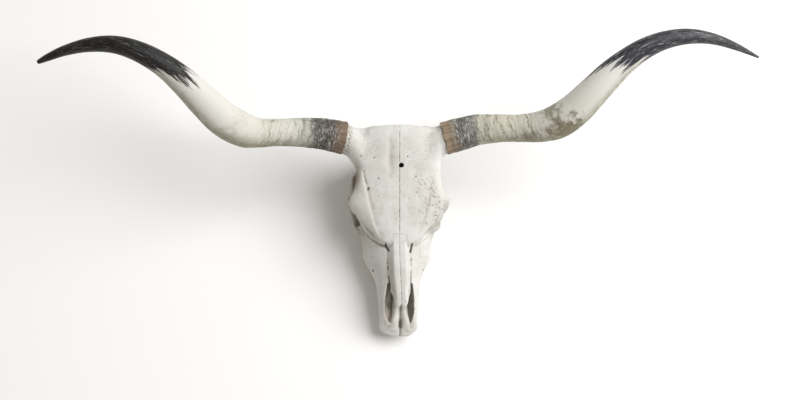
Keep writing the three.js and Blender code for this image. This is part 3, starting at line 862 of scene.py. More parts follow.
def carve(obj):
    """Sutures, grooves, ridges, pits and the unevenness of weathered bone."""
    x, t, z = skull_places(obj)
    normals, facing = normals_of(obj), upward(obj)
    top = rising(facing, 0.35, 0.3)
    wide, fine = rough(x, t, z, 21), rough(x, t, z, 6, 5)
    out = 0.6 * wide + 0.22 * fine
    # The suture down the middle of the forehead.
    out -= hump(midline_gap(t, x), 1.3) * (t > 2) * (t < 250) * top * (0.6 + 0.5 * wide)
    # The brow ridges, raised on their outer side over a trough, and the groove from the brow hole.
    ridge = line_distance(np.abs(x), t, BROW_RIDGE)
    ends = rising(t, 104, 25) * falling(t, 274, 20)
    step = sigmoid(ridge / 1.6)
    ends *= np.where(x < 0, 1, 0.6)
    out += top * ends * (2.0 * step * hump(np.minimum(ridge, 0), 36) - 0.7 * (1 - step) * hump(ridge, 9))
    out -= top * 0.5 * hump(line_distance(np.abs(x), t, BROW_GROOVE), 3.5)
    # The edge under the brow, over a hollow in the tear bone.
    edge = line_distance(np.abs(x), t, TEAR_EDGE)
    inner = sigmoid(-edge / 1.2)
    reach = rising(z, 118, 16) * falling(t, 288, 12) * rising(t, 196, 16)
    reach *= np.where(x < 0, 1, 0.4)
    out += reach * (1.5 * inner * hump(edge, 9) - 2.6 * (1 - inner) * hump(edge, 12))
    # A long hollow in the forehead, single pits and a crevice.
    out -= top * (2.1 * blot(x, t, POLL_HOLLOW) + 1.4 * pitted(x, t))
    out -= 1.8 * hump(line_distance(x, t, LEFT_CREVICE), 2.2) * (z > 150)
    # The seams between the nasal bones and between the muzzle bones, and the knob of the poll.
    out -= 0.5 * hump(x, 2.2) * top * rising(t, 262, 20) * (t < 412)
    out -= 2.6 * hump(x, 3.4) * rising(t, 436, 14) * rising(facing, -0.3, 0.3)
    out += top * 1.4 * hump(x, 16) * hump(t - 14, 26)
    # The back wall: a crest across it, a boss in the middle and a hollow on each side.
    back = rising(normals[:, 1], 0.45, 0.35) * falling(t, 44, 12) * rising(z, 96, 12)
    crest = 2.4 * hump(z - 193 + 0.0025 * x * x, 7) * falling(np.abs(x), 78, 14)
    boss = 3.4 * hump(np.hypot(x, (z - 176) / 1.3), 12) + 1.8 * hump(x, 4.5) * falling(z, 176, 10)
    out += back * (crest + boss - 2.6 * hump(np.abs(x) - 33, 19) * hump(z - 150, 30))
    # The clefts beside the nasal bones, and the crust on the brows and at the horns.
    for cleft in (LEFT_CLEFT, RIGHT_CLEFT):
        out -= top * 3.4 * hump(line_distance(x, t, cleft), 2.2)
    brow, collar, pits = crumbs(obj, x, t, z)
    out += brow * (1.1 - 3.2 * pits) + collar * (0.5 - 2.6 * pits)
    move_points(obj, points_of(obj) + normals * (out * MM)[:, None])
    return obj


def bent(obj):
    """The muzzle leans a little to the right."""
    x, t, _ = skull_places(obj)
    share = rising(t, 290, 120)
    points = points_of(obj)
    middle = falling(np.abs(x), 38, 16)
    lean = MUZZLE_LEAN[1] + (MUZZLE_LEAN[0] - MUZZLE_LEAN[1]) * middle
    points[:, 0] += lean * MM * share * share * (3 - 2 * share)
    move_points(obj, points)
    return obj


def sunk(obj, rounds):
    """How far each point lies below the smoothed surface around it, in millimetres."""
    ends, points = neighbours(obj), points_of(obj) / MM
    smooth = points.copy()
    for _ in range(rounds):
        for k in range(3):
            smooth[:, k] = averaged(smooth[:, k], *ends)
    return ((smooth - points) * normals_of(obj)).sum(axis=1)


def dark_lines(x, t, z, facing):
    """Sutures, clefts and fissures, with painted shade in small holes, along the tear edge and inside the
    drilled holes.
    """
    top = rising(facing, 0.2, 0.3)
    broken = np.clip(0.45 + 1.8 * rough(x * 0, t, z * 0, 9, 3), 0, 1)
    dark = 0.55 * hump(midline_gap(t, x), 0.9) * (t > 3) * (t < 246) * top * broken
    for cleft in (LEFT_CLEFT, RIGHT_CLEFT):
        dark += top * hump(line_distance(x, t, cleft), 2.6)
    dotted = np.clip(0.4 + 2.4 * rough(x, t, z, 6, 9), 0, 1)
    fissure = hump(line_distance(np.abs(x), t, [(b, a) for a, b in NASAL_EDGE[4:]]), 1.6)
    open_share = rising(t, 344, 6) * falling(t, 380, 8)
    dark += 0.9 * fissure * (t > 308) * (z > 80) * np.maximum(dotted, open_share)
    # A faint seam between the nasal bones, and painted shade in the single small pits.
    dark += 0.3 * hump(x, 1.0) * (t > 262) * (t < 412) * top * broken + 0.8 * top * pitted(x, t)
    # A dark line along the tear edge: partly a seam, partly painted shade under the edge, stronger on the
    # left.
    edge = hump(line_distance(np.abs(x), t, TEAR_EDGE) + 1.5, 1.3) * (t < 282) * (t > 200) * (z > 112)
    dark += edge * np.where(x < 0, 0.5, 0.3 * dotted)
    dark += 0.5 * hump(line_distance(x, t, LEFT_CREVICE), 1.6) * (z > 150) * broken
    # Painted shade in and round the left brow hole.
    dark += 0.9 * hump(np.hypot(x + BROW_HOLE["x"], (t - BROW_HOLE["t"]) / 1.5), 3) * (z > 160)
    dark += 0.5 * hump(x, 1.6) * rising(t, 440, 10) * (z > 30)
    dark += 0.4 * blot(x, t, MUZZLE_CHIP) * (z > 38) * dotted
    # Painted shade on the walls inside the forehead hole.
    drilled = np.hypot(x - FOREHEAD_HOLE["x"], t - FOREHEAD_HOLE["t"] - 2) < FOREHEAD_HOLE["radius"] + 1
    return dark + (drilled & (facing < 0.8) & (z > 160))


def stain_and_shade(obj):
    """Mark the bone for its colours: dark in clefts, tan on crust, painted shade in holes, small hollows
    and sheltered places.
    """
    x, t, z = skull_places(obj)
    facing = upward(obj)
    # Painted shade in small hollows of the surface, and in broad ones.
    dip_shade, wide = np.clip(sunk(obj, 6) / 0.55, 0, 1), np.clip(sunk(obj, 40) / 2.6, 0, 1)
    brow, collar, pits = crumbs(obj, x, t, z)
    dip_shade *= 1 - 0.55 * np.clip(brow, 0, 1)
    # The flanks of the nasal bones, partly grime and partly painted shade, and painted shade on the sides
    # of the forehead (more on the left) and the floor of the nose.
    slope = hump(np.abs(x) - 21, 7) * rising(t, 285, 25) * falling(t, 420, 20) * (z > 90)
    temple = rising(np.abs(x), 88, 14) * falling(facing, 0.55, 0.4)
    temple *= rising(t, 92, 40) * falling(t, 262, 30)
    nose = rising(t, 350, 20) * falling(t, 470, 25) * (np.abs(x) < 37)
    nose *= falling(z, 74, 14) * (z > 30) * np.clip((np.abs(x) - 19) / 5, 0.1, 1)
    # Less painted shade in the hollows along the crest of the left brow and the edge of the right tear
    # bone.
    crest = hump(line_distance(-x, t, BROW_RIDGE), 12) * (t > 104)
    calm = np.where(x < 0, crest, hump(line_distance(np.abs(x), t, TEAR_EDGE), 10))
    wide *= (1 - 0.7 * calm) * (1 - 0.8 * nose)
    dip_shade *= 1 - 0.7 * calm
    # Painted shade on the left side, beside the forehead and under the eye socket.
    shade = blot(x, t, LEFT_TEMPLE_SHADE) * (z > 100)
    shade = np.maximum(shade, blot(x, t, LEFT_SOCKET_SHADE) * falling(z, 128, 6))
    # Painted shade inside the eye sockets.
    socket = np.sqrt(((np.abs(x) - 84) / 36) ** 2 + ((t - 194) / 30) ** 2 + ((z - 123) / 25) ** 2)
    socket = np.clip(3 - 2.5 * socket, 0, 1)
    # Dark in the pits of the crust, and more painted shade on the left side.
    dark = dark_lines(x, t, z, facing) + 0.12 * (brow * pits + shade)
    dark += 0.4 * blot(x, t, CRUST) * np.clip(1.6 * pits - 0.4, 0, 1)
    # Painted shade on surfaces that face down.
    under = np.clip(-facing - 0.1, 0, 1)
    crust = np.clip(0.4 + 0.9 * pits, 0, 1)
    # The tan share: crust at horns and brows, grime on the nasal flanks, and painted shade in the nose,
    # sockets, broad hollows, underside and left side.
    tan_and_shade = np.maximum.reduce([
        0.4 * nose, socket, 0.7 * under, 0.6 * wide, 0.9 * shade,
        0.4 * np.clip(collar, 0, 1) * crust, 0.45 * brow * crust,
        0.5 * blot(x, t, CRUST) * crust, 0.3 * blot(x, t, RAGGED) * crust,
        slope * np.where(x < 0, 0.4, 0.12), temple * np.where(x < 0, 0.85, 0.4),
    ])
    marks = np.stack([np.clip(dark, 0, 1), np.clip(tan_and_shade, 0, 1), dip_shade], axis=1)
    layer = obj.data.attributes.new("stain_and_shade", "FLOAT_VECTOR", "POINT")
    layer.data.foreach_set("vector", marks.astype(np.float32).ravel())
    return obj


# ---- Parting ----


def along_outline(outline, share):
    """A point a share of the way round a closed outline, with the outline's corners kept."""
    lengths = [hypot(b[0] - a[0], b[1] - a[1]) for a, b in zip(outline, outline[1:] + outline[:1])]
    place = share % 1 * sum(lengths)
    for (a, b), length in zip(zip(outline, outline[1:] + outline[:1]), lengths):
        if place <= length:
            f = place / length
            return a[0] + (b[0] - a[0]) * f, a[1] + (b[1] - a[1]) * f
        place -= length
    return outline[0]


def grown(outline, distance):
    """An outline moved outwards by a small distance."""
    count = len(outline)
    sides = [(outline[i - 1], outline[i]) for i in range(count)]
    area = sum(p[0] * q[1] - q[0] * p[1] for p, q in sides)
    turning = 1 if area > 0 else -1

    def normal(p, q):
        length = hypot(q[0] - p[0], q[1] - p[1])
        return turning * (q[1] - p[1]) / length, turning * (p[0] - q[0]) / length

    moved = []
    for i, p in enumerate(outline):
        (ax, ay), (bx, by) = normal(outline[i - 1], p), normal(p, outline[(i + 1) % count])
        scale = 2 * distance / ((ax + bx) ** 2 + (ay + by) ** 2)
        moved.append((p[0] + (ax + bx) * scale, p[1] + (ay + by) * scale))
    return moved


def wavy(point):
    """How far a seam wanders at a point."""
    return noise.noise_vector(point / SEAM_WAVE) * SEAM_WANDER


def side_block(outline, start, end, grow=0):
    """A prism from an outline of t and z, between two places across the skull."""
    edge = grown(outline, grow)

    def shape(f, angle):
        t, z = along_outline(edge, angle / (2 * pi))
        point = at(start - grow + (end - start + 2 * grow) * f, t, z)
        return point + wavy(point)

    return skin(shape, 60, 420)


def nasal_block(grow=0):
    level = cos(FACE_SLOPE)
    right = [(x, -t / level) for t, x in NASAL_EDGE]
    edge = grown(right + [(-x, y) for x, y in reversed(right)], grow)
    low, high = -NASAL_DEPTH - grow, 60

    def shape(f, angle):
        x, back = along_outline(edge, angle / (2 * pi))
        flat = on_face(1, x, back, 0)
        calm = min(max((360 + back * level) / 24, 0.1), 1)
        return on_face(1, x, back, low + (high - low) * f) + wavy(flat) * calm

    return skin(shape, 8, 420)


def halves(obj, name):
    """The bone on each side, parted down the middle."""
    found = {}
    for label, start, end in (("left", -400, -SEAM / 2), ("right", SEAM / 2, 400)):
        half = copy_of(obj, f"{name}_{label}_bone")
        block = object_of([side_block(WHOLE_SIDE, start, end)], "block")
        boolean(half, block, "INTERSECT")
        discard(block)
        found[label] = half
    discard(obj)
    return found


def claim(rest, name, territory):
    """Take a territory out of the rest, leaving a seam."""
    piece = copy_of(rest, name)
    for obj, grow, operation in ((piece, 0, "INTERSECT"), (rest, SEAM, "DIFFERENCE")):
        block = object_of(territory(grow), "block")
        boolean(obj, block, operation)
        discard(block)
    return piece


def parted(skull):
    bones = {}
    nasals = claim(skull, "nasals", lambda grow: [nasal_block(grow)])
    cheeks = claim(
        skull, "cheeks", lambda grow: both(side_block(CHEEK_SEAM, CHEEK_SEAM_INNER, 200, grow)),
    )
    muzzle = claim(skull, "muzzle", lambda grow: [side_block(MUZZLE_SEAM, -200, 200, grow)])
    cranium = claim(skull, "cranium_bone", lambda grow: [side_block(CRANIUM_SEAM, -300, 300, grow)])
    pairs = (("nasal", nasals), ("cheekbone", cheeks), ("premaxilla", muzzle), ("maxilla", skull))
    for name, obj in pairs:
        for label, half in halves(obj, name).items():
            bones[f"{name}_{label}"] = half
    bones["cranium"] = cranium
    return {node: largest(obj) for node, obj in bones.items()}


def largest(obj):
    """Keep only an object's largest body."""
    bm = bmesh.new()
    bm.from_mesh(obj.data)
    bm.verts.ensure_lookup_table()
    seen, bodies = set(), []
    for start in bm.verts:
        if start.index in seen:
            continue
        body, front = [], [start]
        seen.add(start.index)
        while front:
            v = front.pop()
            body.append(v)
            for e in v.link_edges:
                w = e.other_vert(v)
                if w.index not in seen:
                    seen.add(w.index)
                    front.append(w)
        bodies.append(body)
    bodies.sort(key=len)
    bmesh.ops.delete(bm, geom=[v for body in bodies[:-1] for v in body], context="VERTS")
    bm.to_mesh(obj.data)
    bm.free()
    return obj


# ---- Teeth ----


def teeth(side):
    front, made = TOOTH_ROW["front"], []
    row_length = sum(length for length, _ in TEETH)
    widening = TOOTH_ROW["back_x"] - TOOTH_ROW["front_x"]
    for length, width in TEETH:
        middle = front - length / 2
        x = TOOTH_ROW["front_x"] + widening * (TOOTH_ROW["front"] - middle) / row_length
        front -= length
        made.append(tooth(side * x, middle, width / 2, length / 2 - 0.3, side))
    return made


def tooth(x, t, half, long, side):
    """One cheek tooth, ribbed on its sides, with worn cusps below."""
    lobes = 2 if long > 10 else 1

    def shape(f, angle):
        v = bulge(sin(angle), 3.2)
        cheek = side * cos(angle) > 0
        rib = 1 + (0.09 * cos(2 * pi * lobes * v) if cheek else 0.13 * cos(2 * pi * lobes * v + pi))
        narrow = 1 - 0.10 * max(0, f - 0.6) / 0.4
        cusp = (3.2 if cheek else 1.8) * cos(pi * lobes * v / 2 + (0 if lobes == 2 else pi / 2)) ** 2
        return at(
            x + half * (rib if cheek else rib * 0.94) * narrow * bulge(cos(angle), 3),
            t + long * narrow * v,
            max(TOOTH_ROW["root"] * (1 - f), 0.03 + cusp),
        )

    return skin(shape, 24, 64)


# ---- Horns ----

# How far from the rim the rings show, how long the rounded end is, and how deep and how far in the
# rim is frayed.
RINGED_LENGTH = 430
TIP_ROUNDING = 5
FRAYING = 2.6
FRAYED_LENGTH = 14


def horn(rows, side):
    """A horn sheath: hollow at its rim, then along the curve to its tip."""
    places = [on_face(side, *row[:3]) for row in rows]
    far, stations = 0, []
    for i, row in enumerate(rows):
        far += (places[i] - places[i - 1]).length if i else 0
        stations.append((far, *places[i], *row[3:]))
    # Inside the rim and over it: how far out of the sheath, and the change of its half widths.
    lip = [(-26, -4.4), (-1, -3.4), (0.6, -2.8), (0.6, -1.2), (-0.2, -0.3)]
    rings = 420

    @lru_cache(None)
    def step(index):
        if index < len(lip):
            depth, thin = lip[index]
            s = 0
            x, y, z, across, through = stations[0][1:]
        else:
            s = far * (index - len(lip)) / (rings - len(lip))
            depth, thin = 0, 0
            x, y, z, across, through = between(stations, s)[1:]
        before, after = between(stations, max(s - 0.5, 0))[1:4], between(stations, min(s + 0.5, far))[1:4]
        tangent = (Vector(after) - Vector(before)).normalized()
        return s, Vector((x, y, z)) + tangent * -depth, tangent, across + thin, through + thin

    def ring_height(s, angle):
        """Growth rings stand out most near the rim."""
        near = max(0, 1 - s / RINGED_LENGTH)
        coil = noise.noise(Vector((s / 9, cos(angle) * 0.35, sin(angle) * 0.35)))
        fine = noise.noise(Vector((s / 3.4 + 40, cos(angle) * 0.5, sin(angle) * 0.5)))
        return near * (0.9 * coil + 0.35 * fine) - 0.5 * near - 0.4

    def shape(f, angle):
        index = round(f * rings)
        s, centre, tangent, across, through = step(index)
        frayed = noise.noise(Vector((cos(angle) * 2.6, sin(angle) * 2.6, side * 9)))
        frayed += 0.6 * noise.noise(Vector((cos(angle) * 8, sin(angle) * 8, side * 9)))
        centre = centre + tangent * (FRAYING * frayed * max(0, 1 - s / FRAYED_LENGTH))
        out = ring_height(s, angle) if index >= len(lip) else -0.4
        end = far - s
        if end < TIP_ROUNDING:
            rounding = (1 - (1 - end / TIP_ROUNDING) ** 2) ** 0.5
            across, through, out = across * rounding + 0.02, through * rounding + 0.02, out * rounding
        return ring(centre, tangent, across + out, through + out, angle)

    def mark(f, angle):
        s = step(round(f * rings))[0]
        return Vector((cos(angle), sin(angle), s * MM))

    return skin(shape, rings, 96, mark)


# ---- Materials ----


class Surface:
    """A procedural material, built up node by node."""

    def __init__(self, name):
        self.material = bpy.data.materials.new(name)
        self.material.use_nodes = True
        self.tree = self.material.node_tree
        self.shader = self.tree.nodes["Principled BSDF"]
        self.place = self.node("TexCoord").outputs["Object"]

    def node(self, kind, inputs=(), **settings):
        made = self.tree.nodes.new("ShaderNode" + kind)
        for key, value in settings.items():
            setattr(made, key, value)
        for key, value in dict(inputs).items():
            self.feed(made.inputs[key], value)
        return made

    def feed(self, socket, value):
        if isinstance(value, bpy.types.NodeSocket):
            self.tree.links.new(value, socket)
        else:
            socket.default_value = value

    def math(self, operation, a, b=0.0):
        return self.node("Math", {0: a, 1: b}, operation=operation).outputs[0]

    def step(self, value, low, high, start=0.0, end=1.0):
        """Nothing below one value, all above another, and smooth between them."""
        inputs = {"Value": value, "From Min": low, "From Max": high, "To Min": start, "To Max": end}
        return self.node("MapRange", inputs, interpolation_type="SMOOTHSTEP").outputs["Result"]

    def band(self, value, low, high, soft):
        rise = self.step(value, low - soft, low + soft)
        fall = self.step(value, high - soft, high + soft, 1, 0)
        return self.math("MULTIPLY", rise, fall)

    def cloud(self, scale, detail=3.0, stretch=(1, 1, 1), place=None, roughness=0.55, distortion=0.0):
        """Noise about one half, in features of one over the scale, in metres."""
        vector = self.node("Mapping", {"Vector": place or self.place, "Scale": stretch}).outputs[0]
        inputs = {"Vector": vector, "Scale": scale, "Detail": detail, "Roughness": roughness,
                  "Distortion": distortion}
        return self.node("TexNoise", inputs).outputs["Fac"]

    def shaken(self, scale, reach):
        """The place, moved about by noise."""
        inputs = {"Vector": self.place, "Scale": scale, "Detail": 3.0}
        cloud = self.node("TexNoise", inputs).outputs["Color"]
        moved = self.node("VectorMath", {0: cloud, "Scale": reach}, operation="SCALE").outputs[0]
        return self.node("VectorMath", {0: self.place, 1: moved}, operation="ADD").outputs[0]

    def mix(self, share, a, b):
        made = self.node("Mix", {"Factor": share}, data_type="RGBA")
        self.feed(made.inputs[6], a)
        self.feed(made.inputs[7], b)
        return made.outputs[2]

    def ramp(self, value, stops):
        made = self.node("ValToRGB", {"Fac": value})
        elements = made.color_ramp.elements
        elements[0].position, elements[0].color = stops[0][0], colour(*stops[0][1:])
        elements[1].position, elements[1].color = stops[-1][0], colour(*stops[-1][1:])
        for position, *rgb in stops[1:-1]:
            elements.new(position).color = colour(*rgb)
        return made.outputs["Color"]

    def marks(self, name):
        vector = self.node("Attribute", attribute_name=name).outputs["Vector"]
        return self.node("SeparateXYZ", {0: vector}).outputs

    def relief(self, height, distance, strength):
        normal = self.node("Bump", {"Height": height, "Distance": distance, "Strength": strength})
        self.feed(self.shader.inputs["Normal"], normal.outputs[0])

    def finish(self, base, roughness):
        self.feed(self.shader.inputs["Base Color"], base)
        self.feed(self.shader.inputs["Roughness"], roughness)
        return self.material


def colour(red, green, blue):
    """A display colour from 0 to 255 as the linear one that a shader takes."""
    return tuple(c / 12.92 if c <= 0.04045 else ((c + 0.055) / 1.055) ** 2.4
                 for c in (red / 255, green / 255, blue / 255)) + (1,)


def bone_material():
    s = Surface("bleached_bone")
    # Marks from the mesh: dark seams with painted shade in holes, tan crust with painted shade, and
    # painted shade in small hollows.
    dark, tan_and_shade, dip_shade_share = s.marks("stain_and_shade")
    mottle = s.cloud(16, 5, distortion=0.4)
    patch = s.cloud(34, 4)
    grain = s.cloud(520, 3, stretch=(1, 0.45, 1))
    base = s.mix(s.step(mottle, 0.35, 0.7), colour(218, 217, 213), colour(208, 206, 200))
    base = s.mix(s.step(patch, 0.5, 0.8, 0, 0.5), base, colour(190, 189, 184))
    speck = s.step(s.cloud(330, 2), 0.66, 0.74, 0, 0.32)
    speck = s.math("MULTIPLY", speck, s.step(s.cloud(26, 2), 0.42, 0.62))
    base = s.mix(speck, base, colour(120, 108, 90))
    base = s.mix(s.step(grain, 0.55, 0.8, 0, 0.16), base, colour(150, 142, 126))
    # Tan for crust and grime, and also as painted shade where the mesh marks sheltered places.
    tan = s.mix(s.step(patch, 0.35, 0.65), colour(150, 132, 104), colour(118, 100, 76))
    base = s.mix(s.math("MULTIPLY", tan_and_shade, s.step(mottle, 0.2, 0.6, 0.7, 1)), base, tan)
    # Painted shade in small hollows.
    base = s.mix(s.math("MULTIPLY", dip_shade_share, 0.7), base, colour(126, 110, 86))
    crack = s.node("TexVoronoi", {
        "Vector": s.node("Mapping", {"Vector": s.shaken(45, 0.03), "Scale": (1, 0.22, 1)}).outputs[0],
        "Scale": 75.0, "Randomness": 1.0,
    }, feature="DISTANCE_TO_EDGE").outputs["Distance"]
    broken = s.step(s.cloud(22, 3), 0.57, 0.66, 0, 0.4)
    line = s.math("MULTIPLY", s.step(crack, 0.004, 0.02, 1, 0), broken)
    base = s.mix(line, base, colour(120, 108, 90))
    # Dark seams and clefts, with painted shade in holes.
    base = s.mix(dark, base, colour(34, 29, 24))
    pores = s.node("TexVoronoi", {"Vector": s.place, "Scale": 620.0}).outputs["Distance"]
    height = s.math("ADD", s.math("MULTIPLY", grain, 0.7), s.math("MULTIPLY", pores, 0.3))
    height = s.math("SUBTRACT", height, s.math("MULTIPLY", line, 1.2))
    s.relief(height, 0.0005, 0.8)
    return s.finish(base, s.step(grain, 0.2, 0.8, 0.7, 0.95))


def tooth_material():
    s = Surface("cheek_tooth")
    streak = s.cloud(90, 4, stretch=(1, 1, 0.25))
    base = s.mix(s.step(streak, 0.35, 0.7), colour(214, 205, 180), colour(150, 128, 92))
    height = s.node("SeparateXYZ", {0: s.place}).outputs[2]
    base = s.mix(s.step(height, 0.012, 0.036, 0, 0.6), base, colour(120, 98, 70))
    base = s.mix(s.step(s.cloud(260, 3), 0.6, 0.7, 0, 0.6), base, colour(84, 66, 48))
    s.relief(s.cloud(300, 3, stretch=(1, 1, 0.2)), 0.0004, 0.7)
    return s.finish(base, s.step(streak, 0.3, 0.7, 0.3, 0.5))


class Sheath(Surface):
    """A horn's material, with the marks and noises that its parts share."""

    def __init__(self, name, look):
        super().__init__(name)
        self.look = look
        self.place = self.node("Attribute", attribute_name="sheath").outputs["Vector"]
        across, through, self.along = self.marks("sheath")
        self.upper = self.math("MULTIPLY", across, look["up"])
        self.mottle = self.cloud(1, 4, (1.6, 1.6, 34))
        self.blotch = self.cloud(1, 5, (2.2, 2.2, 60), roughness=0.6)
        self.streak = self.cloud(1, 5, (5, 5, 9), roughness=0.65)
        self.fibre = self.cloud(1, 4, (17, 17, 20))
        self.grain = self.cloud(1, 4, (26, 26, 160), roughness=0.65)
        self.shifted = self.math("ADD", self.along, self.step(self.blotch, 0.2, 0.8, -0.012, 0.012))
        lean = self.math("ADD", self.along, self.math("MULTIPLY", self.upper, 0.009))
        coil = self.math("ADD", lean, self.step(self.mottle, 0.2, 0.8, -0.007, 0.007))
        around = [self.math("MULTIPLY", value, 0.4) for value in (across, through)]
        turn = self.node("CombineXYZ", {0: around[0], 1: around[1], 2: coil}).outputs[0]
        self.rings = self.cloud(1, 3, (1, 1, 190), turn)
        self.fine_rings = self.cloud(1, 2, (1.6, 1.6, 560), turn)

    def ringed(self, base):
        """The dark part near the rim: flecks of light horn between dark grooves."""
        end, rim = self.look["ringed"], self.look["rim"]
        share = self.step(self.shifted, end - 0.01, end + 0.01, 1, 0)
        share = self.math("MULTIPLY", share, self.step(self.shifted, rim - 0.016, rim + 0.012))
        scale = self.cloud(1, 4, (4, 4, 330), roughness=0.6)
        light = self.math("MULTIPLY", self.step(scale, 0.48, 0.6), self.step(self.rings, 0.34, 0.54))
        light = self.math("MAXIMUM", light, self.step(self.grain, 0.59, 0.66))
        worn = self.cloud(1, 3, (1.8, 1.8, 45))
        light = self.math("MULTIPLY", light, self.step(worn, 0.38, 0.58, 0.35, 1))
        deep = self.math("MULTIPLY", self.step(worn, 0.6, 0.42, 0, 0.5), share)
        base = self.mix(deep, base, colour(52, 48, 45))
        light = self.math("MULTIPLY", self.math("MULTIPLY", light, share), 0.8)
        base = self.mix(light, base, colour(*self.look["flecks"]))
        fine = self.step(self.fine_rings, 0.56, 0.66)
        groove = self.math("MAXIMUM", self.step(self.rings, 0.54, 0.62), fine)
        groove = self.math("MULTIPLY", groove, share)
        return self.mix(self.math("MULTIPLY", groove, 0.6), base, colour(40, 37, 34))

    def crack_lines(self):
        """The darker lines of the rings, and the single cracks that slant across the sheath."""
        line = self.step(self.blotch, 0.36, 0.54)
        line = self.math("MULTIPLY", self.step(self.rings, 0.57, 0.64), line)
        line = self.math("MULTIPLY", line, self.look["line_share"])
        for start, slant, side, strength in self.look["cracks"]:
            shake = self.step(self.blotch, 0.2, 0.8, -0.007, 0.007)
            gap = self.math("ADD", self.math("MULTIPLY", self.upper, slant / 2), shake)
            gap = self.math("SUBTRACT", self.math("ADD", self.along, gap), start + slant / 2)
            gap = self.math("ABSOLUTE", gap)
            share = self.step(self.math("MULTIPLY", self.upper, side), -0.3, 0.5, 0 if side else 1, 1)
            share = self.math("MULTIPLY", share, self.step(self.streak, 0.36, 0.5, 0.3, 1))
            share = self.math("MULTIPLY", share, strength)
            crack = self.math("MULTIPLY", self.step(gap, 0.0004, 0.0021, 1, 0), share)
            line = self.math("MAXIMUM", line, crack)
        return line

    def lined(self, base, line):
        """Stripes just past the dark part, and then the cracks and the faint fine rings."""
        end = self.look["ringed"]
        close = self.band(self.along, end - 0.01, end + 0.045, 0.02)
        stripe = self.step(self.blotch, 0.42, 0.58, 0.25, 0.65)
        stripe = self.math("MULTIPLY", self.step(self.rings, 0.47, 0.6), stripe)
        base = self.mix(self.math("MULTIPLY", stripe, close), base, colour(92, 90, 82))
        share = self.band(self.along, *self.look["lined"], 0.02)
        line = self.math("MULTIPLY", self.math("MULTIPLY", line, share), 0.85)
        base = self.mix(line, base, colour(*self.look["line"]))
        faint = self.math("MULTIPLY", self.step(self.fine_rings, 0.52, 0.66, 0, 0.35), share)
        return self.mix(faint, base, colour(*self.look["line"]))

    def patched(self, base):
        """Brown and grey patches where the outer layer has peeled."""
        for start, end, soft, side, offset, strength, *rgb in self.look["patches"]:
            edge = self.math("ADD", self.along, self.step(self.blotch, 0.25, 0.75, -0.022, 0.022))
            length = self.step(edge, start - soft, start + soft)
            length = self.math("MULTIPLY", length, self.step(edge, end - 0.012, end + 0.012, 1, 0))
            spread = self.step(self.mottle, 0.25, 0.75, offset - 0.6, offset + 0.6)
            spread = self.math("ADD", self.math("MULTIPLY", self.upper, side), spread)
            share = self.math("MULTIPLY", length, self.step(spread, -0.3, 0.6, 0, strength))
            share = self.math("MULTIPLY", share, self.step(self.grain, 0.3, 0.55, 0.55, 1))
            base = self.mix(share, base, colour(*rgb))
        return base

    def weathered(self, base):
        """The frayed brown rim, and a darker band along the underside, partly grime and partly painted
        shade.
        """
        rim = self.look["rim"]
        near_rim = self.step(self.shifted, rim - 0.008, rim + 0.014, 1, 0)
        frayed = self.math("MULTIPLY", near_rim, self.step(self.streak, 0.56, 0.40, 0, 0.6))
        base = self.mix(frayed, base, colour(92, 74, 60))
        frayed = self.math("MULTIPLY", near_rim, self.step(self.blotch, 0.5, 0.66, 0, 0.5))
        base = self.mix(frayed, base, colour(178, 158, 134))
        # Darker along the underside: partly grime, partly painted shade.
        dirt_and_shade = self.step(self.upper, -0.35, -0.95)
        dirt_and_shade = self.math("MULTIPLY", dirt_and_shade, self.band(self.along, 0.1, 0.52, 0.05))
        dirt_and_shade = self.math("MULTIPLY", dirt_and_shade, self.step(self.blotch, 0.3, 0.6, 0.3, 0.75))
        base = self.mix(dirt_and_shade, base, colour(134, 130, 104))
        return self.mix(self.step(self.grain, 0.6, 0.78, 0, 0.3), base, colour(150, 144, 126))

    def dark_ended(self, base):
        """The dark end, which starts in tongues and has pale flakes and scratches."""
        start, early, late = self.look["dark_from"]
        tongue = self.step(self.cloud(1, 2, (3.6, 3.6, 4), roughness=0.5), 0.3, 0.7, -0.026, 0.026)
        tongue = self.math("ADD", self.along, tongue)
        tongue = self.math("ADD", tongue, self.step(self.fibre, 0.3, 0.7, -0.02, 0.02))
        tongue = self.math("ADD", tongue, self.step(self.upper, -0.85, 0.1, -late, 0))
        tongue = self.math("ADD", tongue, self.step(self.upper, 0.55, 0.95, 0, early))
        first, second, last = [colour(*rgb) for rgb in self.look["dark"]]
        tip = self.mix(self.step(self.streak, 0.35, 0.65), first, second)
        length = self.look["length"]
        tip = self.mix(self.step(self.along, length * 0.75, length, 0, 0.7), tip, last)
        scratch = self.cloud(1, 5, (15, 15, 34), roughness=0.75)
        flake = self.math("MULTIPLY", self.step(scratch, 0.565, 0.63), self.look["flakes"])
        tip = self.mix(flake, tip, colour(200, 198, 192))
        return self.mix(self.step(tongue, start - 0.003, start + 0.005), base, tip)


def horn_material(name, look):
    s = Sheath(name, look)
    line = s.crack_lines()
    base = s.ramp(s.math("DIVIDE", s.shifted, look["length"]), look["bands"])
    base = s.lined(s.ringed(base), line)
    base = s.dark_ended(s.weathered(s.patched(base)))
    height = s.math("MULTIPLY", s.fine_rings, s.step(s.along, 0.05, 0.45, 1.2, 0.15))
    height = s.math("ADD", height, s.fibre)
    height = s.math("ADD", height, s.math("MULTIPLY", s.math("ADD", s.grain, line), 0.6))
    s.relief(height, 0.0007, 0.8)
    s.feed(s.shader.inputs["Specular IOR Level"], 0.35)
    rough_share = s.step(s.along, look["length"] * 0.35, look["length"] * 0.75, 0.6, 0.36)
    return s.finish(base, s.math("ADD", rough_share, s.step(s.streak, 0.3, 0.7, -0.06, 0.08)))


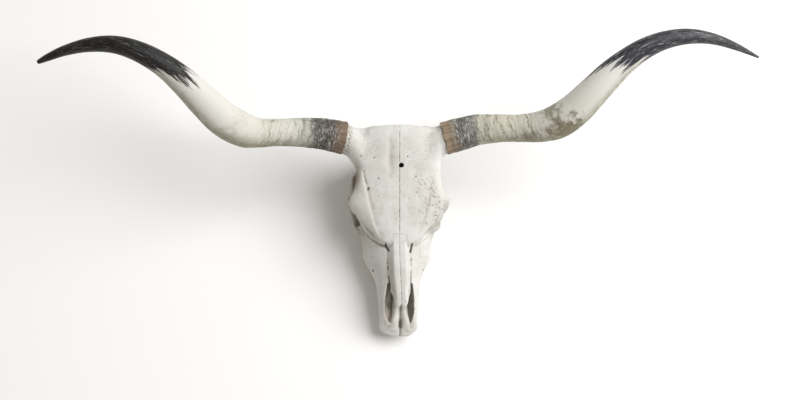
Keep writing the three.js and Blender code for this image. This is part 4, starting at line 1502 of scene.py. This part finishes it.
# Places along a horn are metres from its rim, except in bands, where they are shares of its length.
# A crack is its place, slant, side (1 up, -1 down, 0 both) and strength. A patch is its start,
# end, softness, side, spread over that side, strength and colour.
LEFT_LOOK = {
    "length": 0.86,
    "up": 1,
    "bands": [
        (0, 134, 114, 96), (0.02, 116, 100, 86), (0.036, 88, 80, 73), (0.075, 88, 85, 81),
        (0.09, 108, 107, 102), (0.105, 178, 177, 168), (0.15, 210, 208, 198), (0.24, 211, 208, 197),
        (0.30, 214, 211, 203), (0.42, 214, 212, 206), (0.5, 214, 212, 206), (1, 220, 218, 212),
    ],
    "ringed": 0.086,
    "rim": 0.018,
    "flecks": (204, 201, 192),
    "lined": (0.09, 0.215),
    "line_share": 0.26,
    "line": (122, 114, 92),
    "cracks": [
        (0.118, 0.034, -1, 0.9), (0.139, 0.04, -1, 1), (0.158, 0.042, -1, 0.8), (0.176, 0.034, 0, 0.9),
        (0.196, 0.03, -1, 1), (0.212, -0.03, 1, 0.5), (0.262, -0.02, -1, 0.5),
    ],
    "patches": [
        (0.19, 0.31, 0.03, -1, -0.3, 0.5, 160, 155, 126),
        (0.262, 0.285, 0.01, 1, -0.2, 0.3, 150, 148, 132),
    ],
    "dark_from": (0.43, 0.004, 0.075),
    "dark": ((12, 11, 12), (27, 25, 25), (13, 12, 12)),
    "flakes": 0.32,
}
RIGHT_LOOK = {
    "length": 0.86,
    "up": -1,
    "bands": [
        (0, 158, 138, 116), (0.022, 146, 130, 110), (0.036, 118, 113, 104), (0.06, 122, 123, 117),
        (0.088, 146, 146, 138), (0.105, 198, 195, 180), (0.18, 204, 200, 184), (0.27, 200, 198, 186),
        (0.38, 208, 206, 197), (0.52, 221, 219, 213), (1, 217, 217, 213),
    ],
    "ringed": 0.082,
    "rim": 0.023,
    "flecks": (214, 214, 206),
    "lined": (0.085, 0.25),
    "line_share": 0.25,
    "line": (72, 62, 46),
    "cracks": [
        (0.098, 0.01, 0, 0.6), (0.126, 0.034, 0, 0.9), (0.152, 0.036, 0, 0.8), (0.176, 0.036, -1, 0.8),
        (0.186, 0.03, -1, 0.9), (0.2, 0.034, 0, 1), (0.214, 0.03, -1, 0.7), (0.232, 0.02, -1, 0.5),
    ],
    "patches": [
        (0.185, 0.235, 0.02, -1, -0.4, 0.6, 116, 106, 80),
        (0.26, 0.32, 0.014, -1, 0.25, 0.95, 112, 101, 78),
        (0.255, 0.3, 0.012, 1, -0.25, 0.7, 108, 106, 84),
        (0.3, 0.32, 0.008, -1, 0.1, 0.6, 98, 90, 72),
    ],
    "dark_from": (0.468, 0.055, 0.045),
    "dark": ((26, 28, 36), (58, 60, 67), (62, 62, 64)),
    "flakes": 0.8,
}


# ---- Placing ----


def finish(obj, surface, slot, *nodes):
    obj.data.materials.clear()
    obj.data.materials.append(surface)
    obj.data.polygons.foreach_set("use_smooth", [True] * len(obj.data.polygons))
    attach(obj, "root")
    if nodes:
        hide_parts(*nodes)


def make_skull():
    bone, ivory = bone_material(), tooth_material()
    for node, obj in parted(whole_skull()).items():
        obj.name = f"{node}_bone"
        finish(bent(stain_and_shade(obj)), bone, "bone", node)
    for label, side in (("left", -1), ("right", 1)):
        finish(bent(object_of(teeth(side), f"teeth_{label}")), ivory, "bone")


def make_horns():
    horns = (("left", -1, LEFT_HORN, LEFT_LOOK), ("right", 1, RIGHT_HORN, RIGHT_LOOK))
    for label, side, rows, look in horns:
        sheath = object_of([horn(rows, side)], f"horn_{label}_sheath")
        finish(sheath, horn_material(f"horn_{label}", look), "horn", f"horn_{label}")


# ---- Floor, light and camera ----

# The camera in millimetres, and the floor and the key light in metres.
CAMERA_DISTANCE = 3200
CAMERA_AIM = (1.2, -182.4, 0)
CAMERA_YAW = radians(4.5)
CAMERA_LENS = 60
FLOOR_HALF = 12
FLOOR_COLOUR = (0.96, 0.96, 0.96, 1)
SKY_COLOUR = (1, 0.96, 0.90, 1)
SKY_STRENGTH = 0.37
KEY_PLACE = (3.4, 0.9, 4.6)
KEY_AIM = (0, 0, 0.2)
KEY_POWER = 395
KEY_SIZE = 5.0


def make_camera():
    aim = on_face(1, *CAMERA_AIM)
    side = Vector((1, 0, 0))
    right = side * cos(CAMERA_YAW) + FACE_LIFT * sin(CAMERA_YAW)
    towards = FACE_LIFT * cos(CAMERA_YAW) - side * sin(CAMERA_YAW)
    camera = bpy.data.objects.new("camera", bpy.data.cameras.new("camera"))
    camera.data.lens = CAMERA_LENS
    camera.data.sensor_width = 36
    camera.data.clip_end = 50
    turn = Matrix((right, FACE_BACK, towards)).transposed().to_4x4()
    camera.matrix_world = Matrix.Translation((aim + towards * CAMERA_DISTANCE) * MM) @ turn
    bpy.context.scene.collection.objects.link(camera)
    bpy.context.scene.camera = camera


def make_floor():
    bm = bmesh.new()
    bmesh.ops.create_grid(bm, x_segments=2, y_segments=2, size=FLOOR_HALF)
    mesh = bpy.data.meshes.new("floor")
    bm.to_mesh(mesh)
    bm.free()
    floor = bpy.data.objects.new("floor", mesh)
    bpy.context.scene.collection.objects.link(floor)
    surface = bpy.data.materials.new("pale_floor")
    surface.use_nodes = True
    inputs = surface.node_tree.nodes["Principled BSDF"].inputs
    inputs["Base Color"].default_value = FLOOR_COLOUR
    inputs["Roughness"].default_value = 0.95
    mesh.materials.append(surface)


def make_light():
    world = bpy.data.worlds.new("studio")
    bpy.context.scene.world = world
    world.use_nodes = True
    inputs = world.node_tree.nodes["Background"].inputs
    inputs["Color"].default_value = SKY_COLOUR
    inputs["Strength"].default_value = SKY_STRENGTH
    key = bpy.data.objects.new("key", bpy.data.lights.new("key", "AREA"))
    key.data.energy = KEY_POWER
    key.data.size = KEY_SIZE
    place, aim = Vector(KEY_PLACE), Vector(KEY_AIM)
    turn = (place - aim).to_track_quat("Z", "Y").to_matrix().to_4x4()
    key.matrix_world = Matrix.Translation(place) @ turn
    bpy.context.scene.collection.objects.link(key)
    bpy.context.scene.view_settings.view_transform = "Standard"


make_camera()
make_light()
make_floor()
make_horns()
make_skull()
